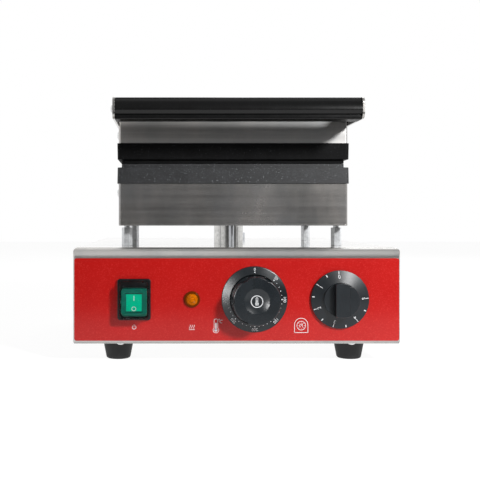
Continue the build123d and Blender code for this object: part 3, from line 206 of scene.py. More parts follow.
def new_group(name, inputs, outputs):
    """Shader node group with its two end nodes; an input without a value is a vector."""
    group = bpy.data.node_groups.new(name, "ShaderNodeTree")
    for label, value in inputs:
        kind = "NodeSocketVector" if value is None else "NodeSocketFloat"
        socket = group.interface.new_socket(label, in_out="INPUT", socket_type=kind)
        if value is not None:
            socket.default_value = value
    for label in outputs:
        group.interface.new_socket(label, in_out="OUTPUT", socket_type="NodeSocketFloat")
    start = group.nodes.new("NodeGroupInput")
    end = group.nodes.new("NodeGroupOutput")
    return group, start, end


def use_group(tree, group, **sockets):
    """A group placed in a material with its own values."""
    node = tree.nodes.new("ShaderNodeGroup")
    node.node_tree = group
    return feed(tree, node, **sockets)


def make_handling_group():
    """Faint smears and specks from use: smear is cloudy, speck is sparse and sharp."""
    group, start, end = new_group(
        "handling_marks", [("Where", None), ("Cloud Scale", 30.0), ("Speck Scale", 900.0)],
        ["Smear", "Speck"],
    )
    where = start.outputs["Where"]
    smear = noise(group, where, start.outputs["Cloud Scale"], 5.0, 0.62)
    rare = maths(group, "SUBTRACT", noise(group, where, start.outputs["Speck Scale"]), 0.68)
    speck = maths(group, "MULTIPLY", rare, 12.0)
    speck.node.use_clamp = True
    feed(group, end, Smear=smear, Speck=speck)
    return group


def make_brushed_group():
    """Fine parallel scratches along X, or along Y where a face looks sideways."""
    group, start, end = new_group("brushed_grain", [("Where", None)], ["Grain", "Streak"])
    normal = put(group, "ShaderNodeNewGeometry").outputs["True Normal"]
    parts = put(group, "ShaderNodeSeparateXYZ")
    group.links.new(normal, parts.inputs[0])
    side = maths(group, "GREATER_THAN", maths(group, "ABSOLUTE", parts.outputs["X"]), 0.75)
    along, across = 9.0, 820.0
    for label, fineness in (("Grain", 1.0), ("Streak", 0.22)):
        pair = []
        for stretch in ((along, across, across), (across, along, across)):
            mapping = put(group, "ShaderNodeMapping")
            mapping.inputs["Scale"].default_value = [fineness * value for value in stretch]
            group.links.new(start.outputs["Where"], mapping.inputs["Vector"])
            pair.append(noise(group, mapping.outputs["Vector"], 1.0, 1.0))
        mix = put(group, "ShaderNodeMix", data_type="FLOAT")
        for socket, value in zip((mix.inputs[0], mix.inputs[2], mix.inputs[3]), (side, *pair)):
            group.links.new(value, socket)
        group.links.new(mix.outputs[0], end.inputs[label])
    return group


def make_flake_group():
    """Flakes: which cells glint, fewer with more rarity, and a random tone for each cell."""
    group, start, end = new_group(
        "flakes", [("Where", None), ("Size Scale", 2200.0), ("Rarity", 0.8)], ["Glint", "Tone"]
    )
    cells = cells_in(group, start.outputs["Where"], start.outputs["Size Scale"])
    parts = put(group, "ShaderNodeSeparateXYZ")
    group.links.new(cells.outputs["Color"], parts.inputs[0])
    glint = maths(group, "GREATER_THAN", parts.outputs["X"], start.outputs["Rarity"])
    feed(group, end, Glint=glint, Tone=parts.outputs["Y"])
    return group


handling_marks = make_handling_group()
brushed_grain = make_brushed_group()
flakes = make_flake_group()


# Materials of this machine

def marks_on(tree, where, cloud_scale, speck_scale):
    """Handling marks of the given fineness."""
    return use_group(tree, handling_marks, Where=where, Cloud_Scale=cloud_scale, Speck_Scale=speck_scale)


def smeared(tree, marks, spread, least):
    """A value that rises from least by spread with the smears."""
    return maths(tree, "MULTIPLY_ADD", marks.outputs["Smear"], spread, least)


def grazing_polish(tree, rough, share):
    """Roughness that falls by share where the metal is seen at a flat angle."""
    steep = maths(tree, "POWER", flatness(tree), 2.5)
    return maths(tree, "MULTIPLY", rough, maths(tree, "MULTIPLY_ADD", steep, -share, 1.0))


def brushed_steel(name, tone, rough, grain_height, polish=0.85, mirror=0.88):
    """Satin sheet steel with fine grain and cloudy streaks, partly smears and partly painted reflections;
    mirror is its bare share.
    """
    material, tree, shader = new_material(name)
    grain = use_group(tree, brushed_grain, Where=place_on(tree))
    warm_smear_and_reflection = marks_on(tree, place_on(tree, (1.0, 1.0, 0.3)), 22.0, 700.0)
    cool_smear_and_reflection = marks_on(tree, place_on(tree, (1.0, 1.3, 0.6)), 13.0, 900.0)
    mixed = maths(tree, "MULTIPLY", grain.outputs["Grain"], 0.35)
    mixed = maths(tree, "MULTIPLY_ADD", grain.outputs["Streak"], 0.65, mixed)
    colour = ramp(tree, mixed, (0.3, toned(tone, 0.84)), (0.7, toned(tone, 1.14)))
    # Warm light and cool dark streaks in the colour: partly smears, partly painted reflections
    warm = ramp(tree, warm_smear_and_reflection.outputs["Smear"], (0.42, 0.0), (0.68, 0.34))
    colour = blended(tree, warm, colour, (0.76, 0.68, 0.63))
    cool = ramp(tree, cool_smear_and_reflection.outputs["Smear"], (0.45, 0.0), (0.7, 0.45))
    colour = blended(tree, cool, colour, (0.36, 0.38, 0.41))
    uneven = smeared(tree, warm_smear_and_reflection, 0.14, rough - 0.10)
    uneven = maths(tree, "MULTIPLY_ADD", mixed, 0.08, uneven)
    polished = grazing_polish(tree, uneven, polish)
    feed(tree, shader, Base_Color=colour, Roughness=polished, Metallic=mirror)
    bump(tree, shader, mixed, grain_height)
    return material


def plated_steel(name, tone, rough, mirror=1.0):
    """Plated or turned metal: mottled, slightly cloudy; mirror is its bare share."""
    material, tree, shader = new_material(name)
    marks = marks_on(tree, place_on(tree), 260.0, 2600.0)
    colour = ramp(tree, marks.outputs["Smear"], (0.35, toned(tone, 0.78)), (0.62, tone))
    uneven = smeared(tree, marks, 0.5 * rough, 0.75 * rough)
    feed(tree, shader, Base_Color=colour, Roughness=uneven, Metallic=mirror)
    bump(tree, shader, marks.outputs["Smear"], 0.03 * rough * mm)
    return material


def red_paint():
    """Glossy red with metal flakes that glint in the key light."""
    material, tree, shader = new_material("red_flake_paint")
    where = place_on(tree)
    flake = use_group(tree, flakes, Where=where, Size_Scale=1500.0, Rarity=0.72)
    fine = use_group(tree, flakes, Where=where, Size_Scale=3300.0, Rarity=0.6)
    marks = marks_on(tree, where, 14.0, 420.0)
    base = ramp(tree, marks.outputs["Smear"], (0.25, (0.50, 0.003, 0.002)), (0.75, (0.56, 0.005, 0.003)))
    shine = maths(tree, "MULTIPLY", flake.outputs["Glint"], flake.outputs["Tone"])
    feed(
        tree, shader,
        Base_Color=blended(tree, maths(tree, "MULTIPLY", shine, 0.3), base, (0.8, 0.06, 0.05)),
        Metallic=maths(tree, "MULTIPLY", fine.outputs["Glint"], 0.18),
        Roughness=smeared(tree, marks, 0.1, 0.36),
        Specular_IOR_Level=0.2, Coat_Weight=0.6, Coat_Roughness=0.16,
    )
    bump(tree, shader, maths(tree, "MULTIPLY_ADD", fine.outputs["Tone"], 0.5, shine), 0.012 * mm)
    return material


def coated_iron(name, dark, light, shine, flecked):
    """Cast plate under a charcoal non-stick coat with pale flecks and a fine orange peel."""
    material, tree, shader = new_material(name)
    where = place_on(tree)
    fleck_scale = 1100.0
    big = use_group(tree, flakes, Where=where, Size_Scale=fleck_scale, Rarity=0.93)
    small = use_group(tree, flakes, Where=where, Size_Scale=2300.0, Rarity=0.84)
    core = maths(tree, "LESS_THAN", cells_in(tree, where, fleck_scale).outputs["Distance"], 0.34)
    fleck = maths(tree, "MULTIPLY", big.outputs["Glint"], core)
    tones = maths(tree, "MULTIPLY_ADD", big.outputs["Tone"], 0.4 * flecked, 0.1 * flecked)
    dust = maths(tree, "MULTIPLY", small.outputs["Glint"], 0.035 * flecked)
    amount = maths(tree, "MAXIMUM", maths(tree, "MULTIPLY", fleck, tones), dust)
    marks = marks_on(tree, where, 45.0, 1400.0)
    base = ramp(tree, marks.outputs["Smear"], (0.3, dark), (0.7, light))
    feed(
        tree, shader, Base_Color=blended(tree, amount, base, (0.62, 0.66, 0.70)),
        Metallic=maths(tree, "MULTIPLY", amount, 0.8),
        Roughness=smeared(tree, marks, 0.2, 0.42), Specular_IOR_Level=shine,
    )
    peel = maths(tree, "MULTIPLY_ADD", amount, 0.5, noise(tree, where, 850.0, 3.0))
    bump(tree, shader, peel, 0.12 * mm)
    return material


def moulded_plastic(name, tone, rough, grain_scale, grain_height, shine=0.5, flat_shine=0.5):
    """Moulded plastic with a spark-eroded grain; flat_shine is its shine at a flat angle."""
    material, tree, shader = new_material(name)
    edge = maths(tree, "MULTIPLY", maths(tree, "SUBTRACT", flatness(tree), 0.3), 4.0)
    edge.node.use_clamp = True
    level = maths(tree, "MULTIPLY_ADD", edge, flat_shine - shine, shine)
    where = place_on(tree)
    marks = marks_on(tree, where, 60.0, 1500.0)
    colour = ramp(tree, marks.outputs["Smear"], (0.3, tone), (0.75, toned(tone, 1.35)))
    dusty = blended(tree, maths(tree, "MULTIPLY", marks.outputs["Speck"], 0.10), colour, (0.3, 0.3, 0.3))
    uneven = smeared(tree, marks, 0.14, rough - 0.07)
    feed(tree, shader, Base_Color=dusty, Roughness=uneven, Specular_IOR_Level=level)
    bump(tree, shader, noise(tree, where, grain_scale), grain_height)
    return material


def clear_plastic():
    """Clear soft cover with slight smears."""
    material, tree, shader = new_material("clear_cover")
    marks = marks_on(tree, place_on(tree), 160.0, 1200.0)
    feed(
        tree, shader, Base_Color=(0.93, 0.96, 0.96), Roughness=smeared(tree, marks, 0.04, 0.0),
        Transmission_Weight=1.0, IOR=1.14,
    )
    bump(tree, shader, marks.outputs["Smear"], 0.03 * mm)
    return material


def lit_plastic(name, tone, rough, glow, glow_strength, prism_shade_spots=0.0):
    """Coloured translucent moulding that glows a little; prism_shade_spots is how many painted dark spots
    per metre stand for the shade in a lens's prisms.
    """
    material, tree, shader = new_material(name)
    where = place_on(tree)
    marks = marks_on(tree, where, 180.0, 1600.0)
    colour = ramp(tree, marks.outputs["Smear"], (0.3, toned(tone, 0.72)), (0.7, tone))
    # Painted shade: dark spots for the shade in the lens's prisms
    if prism_shade_spots:
        cells = cells_in(tree, where, prism_shade_spots, 0.35)
        prism_shade = ramp(tree, cells.outputs["Distance"], (0.30, 0.85), (0.48, 0.0))
        colour = blended(tree, prism_shade, colour, (0.06, 0.016, 0.001))
    feed(
        tree, shader, Base_Color=colour, Roughness=smeared(tree, marks, 0.1, rough),
        Emission_Color=ramp(tree, marks.outputs["Smear"], (0.2, toned(glow, 0.8)), (0.8, glow)),
        Emission_Strength=glow_strength, Specular_IOR_Level=0.08,
    )
    return material


def fibre_pad():
    """Pressed mineral fibre."""
    material, tree, shader = new_material("mineral_fibre")
    fibre = noise(tree, place_on(tree), 420.0, 6.0, 0.75)
    colour = ramp(tree, fibre, (0.3, (0.55, 0.52, 0.46)), (0.7, (0.82, 0.8, 0.74)))
    feed(tree, shader, Base_Color=colour, Roughness=0.95)
    bump(tree, shader, fibre, 0.5 * mm)
    return material


def pale_coat(name, tone):
    """Pale ink or glaze, a little uneven."""
    material, tree, shader = new_material(name)
    uneven = noise(tree, place_on(tree), 1800.0, 3.0)
    colour = ramp(tree, uneven, (0.3, toned(tone, 0.86)), (0.6, tone))
    feed(tree, shader, Base_Color=colour, Roughness=maths(tree, "MULTIPLY_ADD", uneven, 0.2, 0.35))
    return material


finishes = {
    "stainless": brushed_steel("brushed_stainless", (0.46, 0.455, 0.44), 0.25, 0.004 * mm),
    "red_panel": red_paint(),
    "bright_steel": plated_steel("turned_steel", (0.78, 0.78, 0.78), 0.22),
    "zinc_steel": plated_steel("zinc_plate", (0.66, 0.68, 0.71), 0.3),
    "foot_rubber": moulded_plastic("foot_rubber", (0.0075, 0.0077, 0.0084), 0.62, 1400.0, 0.05 * mm),
    "black_plastic": moulded_plastic("black_nylon", (0.003, 0.0036, 0.0045), 0.26, 1800.0, 0.01 * mm),
    "handle_black": moulded_plastic(
        "handle_phenolic", (0.0018, 0.0019, 0.002), 0.24, 1500.0, 0.008 * mm, 0.36, 0.01
    ),
    "green_lens": lit_plastic("green_rocker", (0.006, 0.13, 0.09), 0.25, (0.01, 0.12, 0.08), 0.3),
    "clear_boot": clear_plastic(),
    "amber_bezel": lit_plastic("amber_moulding", (0.16, 0.03, 0.001), 0.14, (0.3, 0.1, 0.0), 0.02),
    "amber_lens": lit_plastic("amber_lens", (0.74, 0.19, 0.0), 0.2, (0.9, 0.25, 0.0), 0.08, prism_shade_spots=850.0),
    "dial_plastic": moulded_plastic("dial_charcoal", (0.0055, 0.0085, 0.0115), 0.36, 2300.0, 0.015 * mm),
    "brass_metal": plated_steel("turned_brass", (0.78, 0.57, 0.24), 0.26),
    "copper_probe": plated_steel("copper_tube", (0.78, 0.42, 0.28), 0.3),
    "ceramic_white": pale_coat("glazed_ceramic", (0.85, 0.84, 0.8)),
    "chrome_tube": plated_steel("polished_tube", (0.66, 0.655, 0.64), 0.1),
    "coated_iron": coated_iron(
        "speckled_coating", (0.010, 0.0104, 0.0116), (0.021, 0.022, 0.0245), 0.48, 1.0
    ),
    "element_steel": plated_steel("heat_dark_sheath", (0.20, 0.18, 0.16), 0.42),
    "mineral_pad": fibre_pad(),
    "hose_steel": plated_steel("hose_steel", (0.42, 0.425, 0.425), 0.26),
}
print_white = pale_coat("dial_print", (0.86, 0.88, 0.90))
window_green = lit_plastic("window_green", (0.0, 0.40, 0.215), 0.3, (0.0, 0.52, 0.29), 0.38)
# Painted shade: a darker, less shiny copy of the coating with few flecks, for the handle's shadow on the
# upper plate
upper_coating_painted_shade = coated_iron("upper_coating_painted_shade", (0.004, 0.0041, 0.0043), (0.0075, 0.0076, 0.008), 0.06, 0.14)
# Painted light and shade: the upper housing's steel is made lighter against the handle's shade, the lower
# housing's darker against the key light's sheen
upper_steel_painted_light = brushed_steel("upper_stainless_painted_light", (0.55, 0.545, 0.53), 0.33, 0.0015 * mm)
lower_steel_painted_shade = brushed_steel("lower_stainless_painted_shade", (0.34, 0.335, 0.325), 0.24, 0.002 * mm)
dial_gloss = moulded_plastic("dial_gloss", (0.004, 0.0064, 0.0086), 0.26, 2300.0, 0.008 * mm)
post_zinc = plated_steel("post_zinc", (0.92, 0.94, 0.96), 0.34, 0.6)
# Painted light: the cover's steel is lighter and less mirror-like, standing in for the key light that is
# kept off it
cover_steel_painted_light = brushed_steel("cover_stainless_painted_light", (0.76, 0.75, 0.73), 0.3, 0.003 * mm, 0.8, 0.68)


# Mesh helpers

def finish_piece(name, form, finish, body, stands_for=()):
    """Object at the origin made of a bmesh, riding on its body."""
    mesh = bpy.data.meshes.new(name)
    form.to_mesh(mesh)
    form.free()
    mesh.shade_smooth()
    piece = bpy.data.objects.new(name, mesh)
    bpy.context.scene.collection.objects.link(piece)
    mesh.materials.append(finish)
    if body:
        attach(piece, body)
    if stands_for:
        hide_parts(*stands_for)
    return piece


def break_edges(piece, width, segments=2, sharper=24):
    """Rounds every edge that is sharper than the given angle in degrees."""
    edge = piece.modifiers.new("broken_edges", "BEVEL")
    edge.width = width
    edge.segments = segments
    edge.limit_method = "ANGLE"
    edge.angle_limit = radians(sharper)
    even = piece.modifiers.new("flat_faces", "WEIGHTED_NORMAL")
    even.weight = 100
    even.thresh = 0.01


def join_and_turn_out(form):
    """Merges doubled vertices and turns the faces outwards."""
    bmesh.ops.remove_doubles(form, verts=form.verts, dist=weld)
    bmesh.ops.recalc_face_normals(form, faces=form.faces)


def thicken(form, height):
    """Gives a flat sheet its thickness towards local Z, closed all round."""
    made = bmesh.ops.extrude_face_region(form, geom=list(form.faces))
    raised = [item for item in made["geom"] if isinstance(item, bmesh.types.BMVert)]
    bmesh.ops.translate(form, verts=raised, vec=(0, 0, height))
    bmesh.ops.recalc_face_normals(form, faces=form.faces)


def round_corners(form, radius, away):
    """Rounds the edges along the depth that lie at least away from the form's middle height."""
    sideways = 0.9
    heights = [vert.co.z for vert in form.verts]
    centre_z = (min(heights) + max(heights)) / 2
    corners = [
        edge for edge in form.edges
        if len(edge.link_faces) == 2
        and sorted(abs(face.normal.x) > sideways for face in edge.link_faces) == [False, True]
        and min(abs(vert.co.z - centre_z) for vert in edge.verts) > away
    ]
    bmesh.ops.bevel(
        form, geom=corners, offset=radius, offset_type="OFFSET", affect="EDGES", segments=5, profile=0.5,
        material=-1, clamp_overlap=False,
    )
    bmesh.ops.recalc_face_normals(form, faces=form.faces)


# Nodes whose finish differs from the rest of their slot; the cover, the two housings and the upper plate
# get lighter or darker copies as painted light and painted shade
own_finish = {
    "base_cover": cover_steel_painted_light, "posts": post_zinc, "temperature_knob": dial_gloss,
    "upper_plate": upper_coating_painted_shade, "lower_housing": lower_steel_painted_shade, "upper_housing": upper_steel_painted_light,
}
# Nodes with rounded corners: the radius, and how far from the middle height they start
corner_rounds = {"switch_rocker": (2.3 * mm, 9 * mm)}
# Neighbouring faces that turn less than this are made one
flat_enough = radians(0.4)


def dressed(node, edge_width):
    """The node's own form, merged, smooth and with broken edges, standing for the node."""
    form = bmesh.new()
    form.from_mesh(frame["nodes"][node].data)
    bmesh.ops.remove_doubles(form, verts=form.verts, dist=weld)
    bmesh.ops.dissolve_limit(form, angle_limit=flat_enough, verts=form.verts, edges=form.edges)
    if node in corner_rounds:
        round_corners(form, *corner_rounds[node])
    slot = node_slot[node]
    finish = own_finish.get(node, finishes[slot])
    piece = finish_piece(node + "_finished", form, finish, body_of[node], [node])
    break_edges(piece, edge_width)


def kept(node):
    """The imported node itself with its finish."""
    target = frame["nodes"][node]
    if not target.material_slots:
        target.data.materials.append(None)
    for entry in target.material_slots:
        entry.material = finishes[node_slot[node]]


def front_frame(centre_x, centre_z):
    """Local X to the right, local Y up and local Z out of the panel's face."""
    turn = Matrix(((1, 0, 0), (0, 0, -1), (0, 1, 0))).to_4x4()
    return Matrix.Translation((centre_x, panel_y, centre_z)) @ turn


def round_place(node):
    """Frame on the axis of a round control, from the panel's face."""
    centre = middle(node)
    return front_frame(centre.x, centre.z)


def spun(profile, steps):
    """Closed round form: profile points (radius, height) turned about local Z."""
    form = bmesh.new()
    verts = [form.verts.new((r, 0.0, h)) for r, h in profile]
    edges = [form.edges.new(pair) for pair in zip(verts, verts[1:] + verts[:1])]
    bmesh.ops.spin(
        form, geom=verts + edges, cent=(0, 0, 0), axis=(0, 0, 1), angle=2 * pi, steps=steps, use_merge=True
    )
    join_and_turn_out(form)
    return form


# Print

ink_height = 0.05 * mm


def ink_disc(form, x, y, radius, steps=24):
    """Printed dot."""
    bmesh.ops.create_circle(
        form, cap_ends=True, radius=radius, segments=steps, matrix=Matrix.Translation((x, y, 0))
    )


def ink_ring(form, x, y, radius, width, steps=40, start=0.0, sweep=360.0):
    """Printed ring or part of a ring; angles in degrees, anticlockwise from the right."""
    first = Matrix.Translation((x, y, 0)) @ Matrix.Rotation(radians(start), 4, "Z")
    verts = [form.verts.new(first @ Vector((r, 0, 0))) for r in (radius - width / 2, radius + width / 2)]
    edge = form.edges.new(verts)
    bmesh.ops.spin(
        form, geom=verts + [edge], cent=(x, y, 0), axis=(0, 0, 1), angle=radians(sweep), steps=steps,
        use_merge=sweep >= 360,
    )


def ink_bar(form, start, end, width):
    """Printed straight stroke."""
    start, end = Vector((*start, 0)), Vector((*end, 0))
    along = end - start
    turn = Matrix.Rotation(atan2(along.y, along.x), 4, "Z")
    size = Matrix.Diagonal((along.length, width, 1, 1))
    place = Matrix.Translation((start + end) / 2)
    bmesh.ops.create_grid(form, x_segments=1, y_segments=1, size=0.5, matrix=place @ turn @ size)


def read_curve(curve):
    """Mesh of a curve or of words, which are deleted after it is read."""
    holder = bpy.data.objects.new(curve.name, curve)
    bpy.context.scene.collection.objects.link(holder)
    bpy.context.view_layer.update()
    mesh = bpy.data.meshes.new_from_object(holder.evaluated_get(bpy.context.evaluated_depsgraph_get()))
    bpy.data.objects.remove(holder)
    bpy.data.curves.remove(curve)
    return mesh


def ink_text(form, words, height, place):
    """Printed figures, centred on the place."""
    figure_share = 0.7
    curve = bpy.data.curves.new("figures", "FONT")
    curve.body = words
    curve.size = height / figure_share
    curve.align_x = "CENTER"
    curve.align_y = "CENTER"
    curve.resolution_u = 6
    flat = read_curve(curve)
    flat.transform(place)
    form.from_mesh(flat)
    bpy.data.meshes.remove(flat)


def ink_thermometer(form, x, low, high, bulb_r, tube_r, stroke):
    """Thermometer: outline with a filled bulb and column."""
    bulb_fill, column_fill, column_top = 0.55, 0.75, 0.72
    bulb_y = low + bulb_r
    meet = acos(tube_r / bulb_r)
    ink_ring(form, x, bulb_y, bulb_r, stroke, 28, 180 - meet * 180 / pi, 180 + 2 * meet * 180 / pi)
    shoulder = bulb_y + bulb_r * sin(meet)
    for side in (-1, 1):
        ink_bar(form, (x + side * tube_r, shoulder), (x + side * tube_r, high - tube_r), stroke)
    ink_ring(form, x, high - tube_r, tube_r, stroke, 14, 0, 180)
    ink_disc(form, x, bulb_y, bulb_fill * bulb_r)
    ink_bar(form, (x, bulb_y), (x, low + column_top * (high - low)), column_fill * tube_r)


def laid_on(form, height_at):
    """Lifts a flat form onto a surface of revolution, given as height over radius."""
    for vert in form.verts:
        vert.co.z += height_at(hypot(vert.co.x, vert.co.y))


def printed(name, form, place, body, finish=None):
    """Gives flat print its ink thickness and puts it in place, in white unless told otherwise."""
    join_and_turn_out(form)
    for face in form.faces:
        if face.normal.z < 0:
            face.normal_flip()
    thicken(form, ink_height)
    form.transform(place)
    piece = finish_piece(name, form, finish or print_white, body)
    piece.data.shade_flat()


# Nodes whose own shape is right, with the width of their broken edges in millimetres
dress_widths = {
    "base_cover": 0.3, "bottom_plate": 0.3, "front_panel": 0.2, "bottom_screws": 0.15, "feet": 0.6,
    "switch_frame": 0.3, "posts": 0.25, "wire_conduit": 0.2, "sensor_tube": 0.12,
    "lower_housing": 0.3, "lower_floor": 0.3, "lower_plate": 0.7, "lower_side_screws": 0.15,
    "upper_housing": 0.3, "upper_plate": 0.7, "upper_side_screws": 0.15, "arm_left": 0.25,
    "arm_right": 0.25, "arm_screws": 0.15, "handle_grip": 0.35, "handle_screws": 0.15,
    "hinge_bushes": 0.12, "hinge_shaft": 0.3, "hinge_spacers": 0.2, "hinge_end_nuts": 0.5,
    "stop_pins": 0.4, "hinge_bracket_left": 0.3, "hinge_bracket_right": 0.3, "bracket_screws": 0.15,
    "hose_fitting_lower": 0.4, "hose_fitting_upper": 0.4, "cable_gland": 0.4, "switch_boot": 0.2,
    "foot_screws": 0.15, "switch_rocker": 0.3, "lamp_body": 0.2, "lamp_lens": 0.15,
    "temperature_knob": 0.35, "timer_knob": 0.3, "lower_insulation": 0.5,
}
for node, width in dress_widths.items():
    dressed(node, width * mm)

# Fixed scale ring with a conical face and a steeper rim
ring_inner_r, cone_outer_r, ring_outer_r = 23.6 * mm, 29.9 * mm, 31.3 * mm
ring_low, ring_high = 1.0 * mm, 2.4 * mm
rim_run, rim_fall = 0.4 * mm, 0.3 * mm
ring_place = round_place("temperature_scale_ring")
ring_form = spun([
    (ring_inner_r, 0.0),
    (ring_inner_r, ring_high),
    (cone_outer_r, ring_low),
    (ring_outer_r - rim_run, ring_low - rim_fall),
    (ring_outer_r, ring_low - 2 * rim_fall),
    (ring_outer_r, 0.0),
], 96)
ring_form.transform(ring_place)
scale_ring = finish_piece(
    "temperature_scale_ring_finished", ring_form, dial_gloss, "base",
    ["temperature_scale_ring"],
)
break_edges(scale_ring, 0.25 * mm, 2, 20)

# Temperature scale, clockwise: a large dot and a figure every 50 degrees Celsius, small dots between
scale_form = bmesh.new()
dot_circle_r, degree_circle_r = 25.7 * mm, 28.3 * mm
large_dot_r, small_dot_r = 0.62 * mm, 0.36 * mm
degree_step, degree_turn, degree_count, dots_per_turn = 50, 45, 7, 5
degree_height = 2.7 * mm
for step in range(degree_count):
    turn = radians(degree_turn * step)
    ink_disc(scale_form, dot_circle_r * sin(turn), dot_circle_r * cos(turn), large_dot_r)
    seat = Matrix.Rotation(-turn, 4, "Z") @ Matrix.Translation((0, degree_circle_r, 0))
    ink_text(scale_form, str(degree_step * step), degree_height, seat)
for step in range(dots_per_turn + 1, dots_per_turn * (degree_count - 1)):
    if step % dots_per_turn:
        turn = radians(degree_turn * step / dots_per_turn)
        ink_disc(scale_form, dot_circle_r * sin(turn), dot_circle_r * cos(turn), small_dot_r, 12)
cone_slope = (ring_high - ring_low) / (cone_outer_r - ring_inner_r)
laid_on(scale_form, lambda r: ring_low + cone_slope * (cone_outer_r - r))
printed("temperature_scale_print", scale_form, ring_place, "base")

# Thermometer in a ring, in the knob's dish, which is hollowed by a sphere
dish_sphere_r, dish_floor = 38.52 * mm, 20.0 * mm
symbol_ring_r, symbol_half = 5.35 * mm, 3.7 * mm
symbol_form = bmesh.new()
ink_ring(symbol_form, 0, 0, symbol_ring_r, width=0.72 * mm, steps=56)
ink_thermometer(
    symbol_form, 0, -symbol_half, symbol_half, bulb_r=1.45 * mm, tube_r=0.85 * mm, stroke=0.42 * mm
)
laid_on(symbol_form, lambda r: dish_floor + dish_sphere_r - sqrt(dish_sphere_r**2 - r**2))
printed("temperature_knob_symbol", symbol_form, ring_place, "temperature_dial")

# Black ring of painted shade that closes the gap between the scale ring and the knob, where only shadow
# shows
shade_ring_inner_r, shade_ring_outer_r = 9.0 * mm, 23.5 * mm
shade_ring_back, shade_ring_front = 0.15 * mm, 0.6 * mm
shade_ring_form = spun([
    (shade_ring_inner_r, shade_ring_back),
    (shade_ring_outer_r, shade_ring_back),
    (shade_ring_outer_r, shade_ring_front),
    (shade_ring_inner_r, shade_ring_front),
], 72)
shade_ring_form.transform(ring_place)
gap_shade_ring = finish_piece("temperature_gap_shade", shade_ring_form, finishes["black_plastic"], "base")
break_edges(gap_shade_ring, 0.1 * mm, 1, 40)

# Right half of the timer's grip, which fills the barrel beside the straight grip
timer_place = round_place("timer_knob")
grip_recess = 0.02 * mm
grip_out = panel_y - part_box("timer_knob")[0].y - grip_recess
barrel_r, barrel_out = 15.9 * mm, 7.9 * mm
grip_half, grip_top = 6.2 * mm, 12.6 * mm
barrel_steps = 32
sweep_low = -acos(grip_half / barrel_r)
sweep_high = atan2(grip_top, sqrt(barrel_r**2 - grip_top**2))
outline = [(grip_half, grip_top), (grip_half, -sqrt(barrel_r**2 - grip_half**2))]
for step in range(barrel_steps + 1):
    turn = sweep_low + (sweep_high - sweep_low) * step / barrel_steps
    outline.append((barrel_r * cos(turn), barrel_r * sin(turn)))
half_form = bmesh.new()
half_form.faces.new([half_form.verts.new((x, y, barrel_out)) for x, y in outline])
bmesh.ops.remove_doubles(half_form, verts=half_form.verts, dist=weld)
thicken(half_form, grip_out - barrel_out)
half_form.transform(timer_place)
half_grip = finish_piece(
    "timer_grip_half", half_form, finishes["dial_plastic"], "timer_dial"
)
break_edges(half_grip, 0.4 * mm, 3, 40)

# Minutes on the timer's conical skirt, anticlockwise: a long stroke and a figure, a short one between
skirt_r, skirt_rim = 27.35 * mm, 2.5 * mm
skirt_cone, cone_run = 3.2 * mm, 11.2 * mm
minute_turn, print_lag = 54, 3
stroke_count = 11
minute_circle_r, minute_height = 21.4 * mm, 3.3 * mm
minute_form = bmesh.new()
for step in range(stroke_count):
    turn = radians(minute_turn * step / 2 + print_lag)
    whole = step % 2 == 0
    inner, outer, width = (23.7, 26.7, 0.62) if whole else (24.3, 26.5, 0.95)
    out = Vector((-sin(turn), cos(turn)))
    ink_bar(minute_form, inner * mm * out, outer * mm * out, width * mm)
    if whole:
        seat = Matrix.Rotation(turn, 4, "Z") @ Matrix.Translation((0, minute_circle_r, 0))
        ink_text(minute_form, str(step // 2), minute_height, seat)
laid_on(minute_form, lambda r: skirt_rim + skirt_cone / cone_run * (skirt_r - r))
printed("timer_scale_print", minute_form, timer_place, "timer_dial")

# Rocker: bright window with I and O on the two facets of its face
rocker_z, rocker_tilt = 58.6 * mm, radians(-10)
rocker_tip, rocker_dip, facet_run = 6.4 * mm, 3.6 * mm, 11.66 * mm
facet_slope = (rocker_tip - rocker_dip) / facet_run
rocker_seat = front_frame(middle("switch_boot").x, rocker_z) @ Matrix.Rotation(rocker_tilt, 4, "X")


def on_facets(form, lift):
    """Lays a flat form on the rocker's two facets."""
    for vert in form.verts:
        vert.co.z += rocker_dip + facet_slope * abs(vert.co.y) + lift


window_w, window_low, window_high = 14.6 * mm, -9.0 * mm, 6.9 * mm
window_t, mark_lift = 0.35 * mm, 0.36 * mm
window_form = bmesh.new()
bmesh.ops.create_grid(window_form, x_segments=8, y_segments=24, size=0.5)
for vert in window_form.verts:
    vert.co.x *= window_w
    vert.co.y = window_low + (vert.co.y + 0.5) * (window_high - window_low)
on_facets(window_form, 0.0)
thicken(window_form, window_t)
window_form.transform(rocker_seat)
window = finish_piece("rocker_window", window_form, window_green, "rocker")
break_edges(window, 0.25 * mm, 3, 40)

mark_form = bmesh.new()
ink_bar(mark_form, (0, 0.9 * mm), (0, 5.5 * mm), width=0.75 * mm)
ink_ring(mark_form, 0, -6.7 * mm, radius=1.85 * mm, width=0.6 * mm, steps=36)
on_facets(mark_form, mark_lift)
printed("rocker_marks", mark_form, rocker_seat, "rocker")

# Painted shade: flat black ink strips above and below the window stand for grooves
groove_shade_gap, groove_shade_half, groove_shade_w = 0.75 * mm, window_w / 2 + 1.0 * mm, 0.55 * mm
groove_shade_form = bmesh.new()
for level in (window_low - groove_shade_gap, window_high + groove_shade_gap):
    ink_bar(groove_shade_form, (-groove_shade_half, level), (groove_shade_half, level), groove_shade_w)
on_facets(groove_shade_form, 0.0)
printed("rocker_groove_shade", groove_shade_form, rocker_seat, "rocker", finishes["black_plastic"])

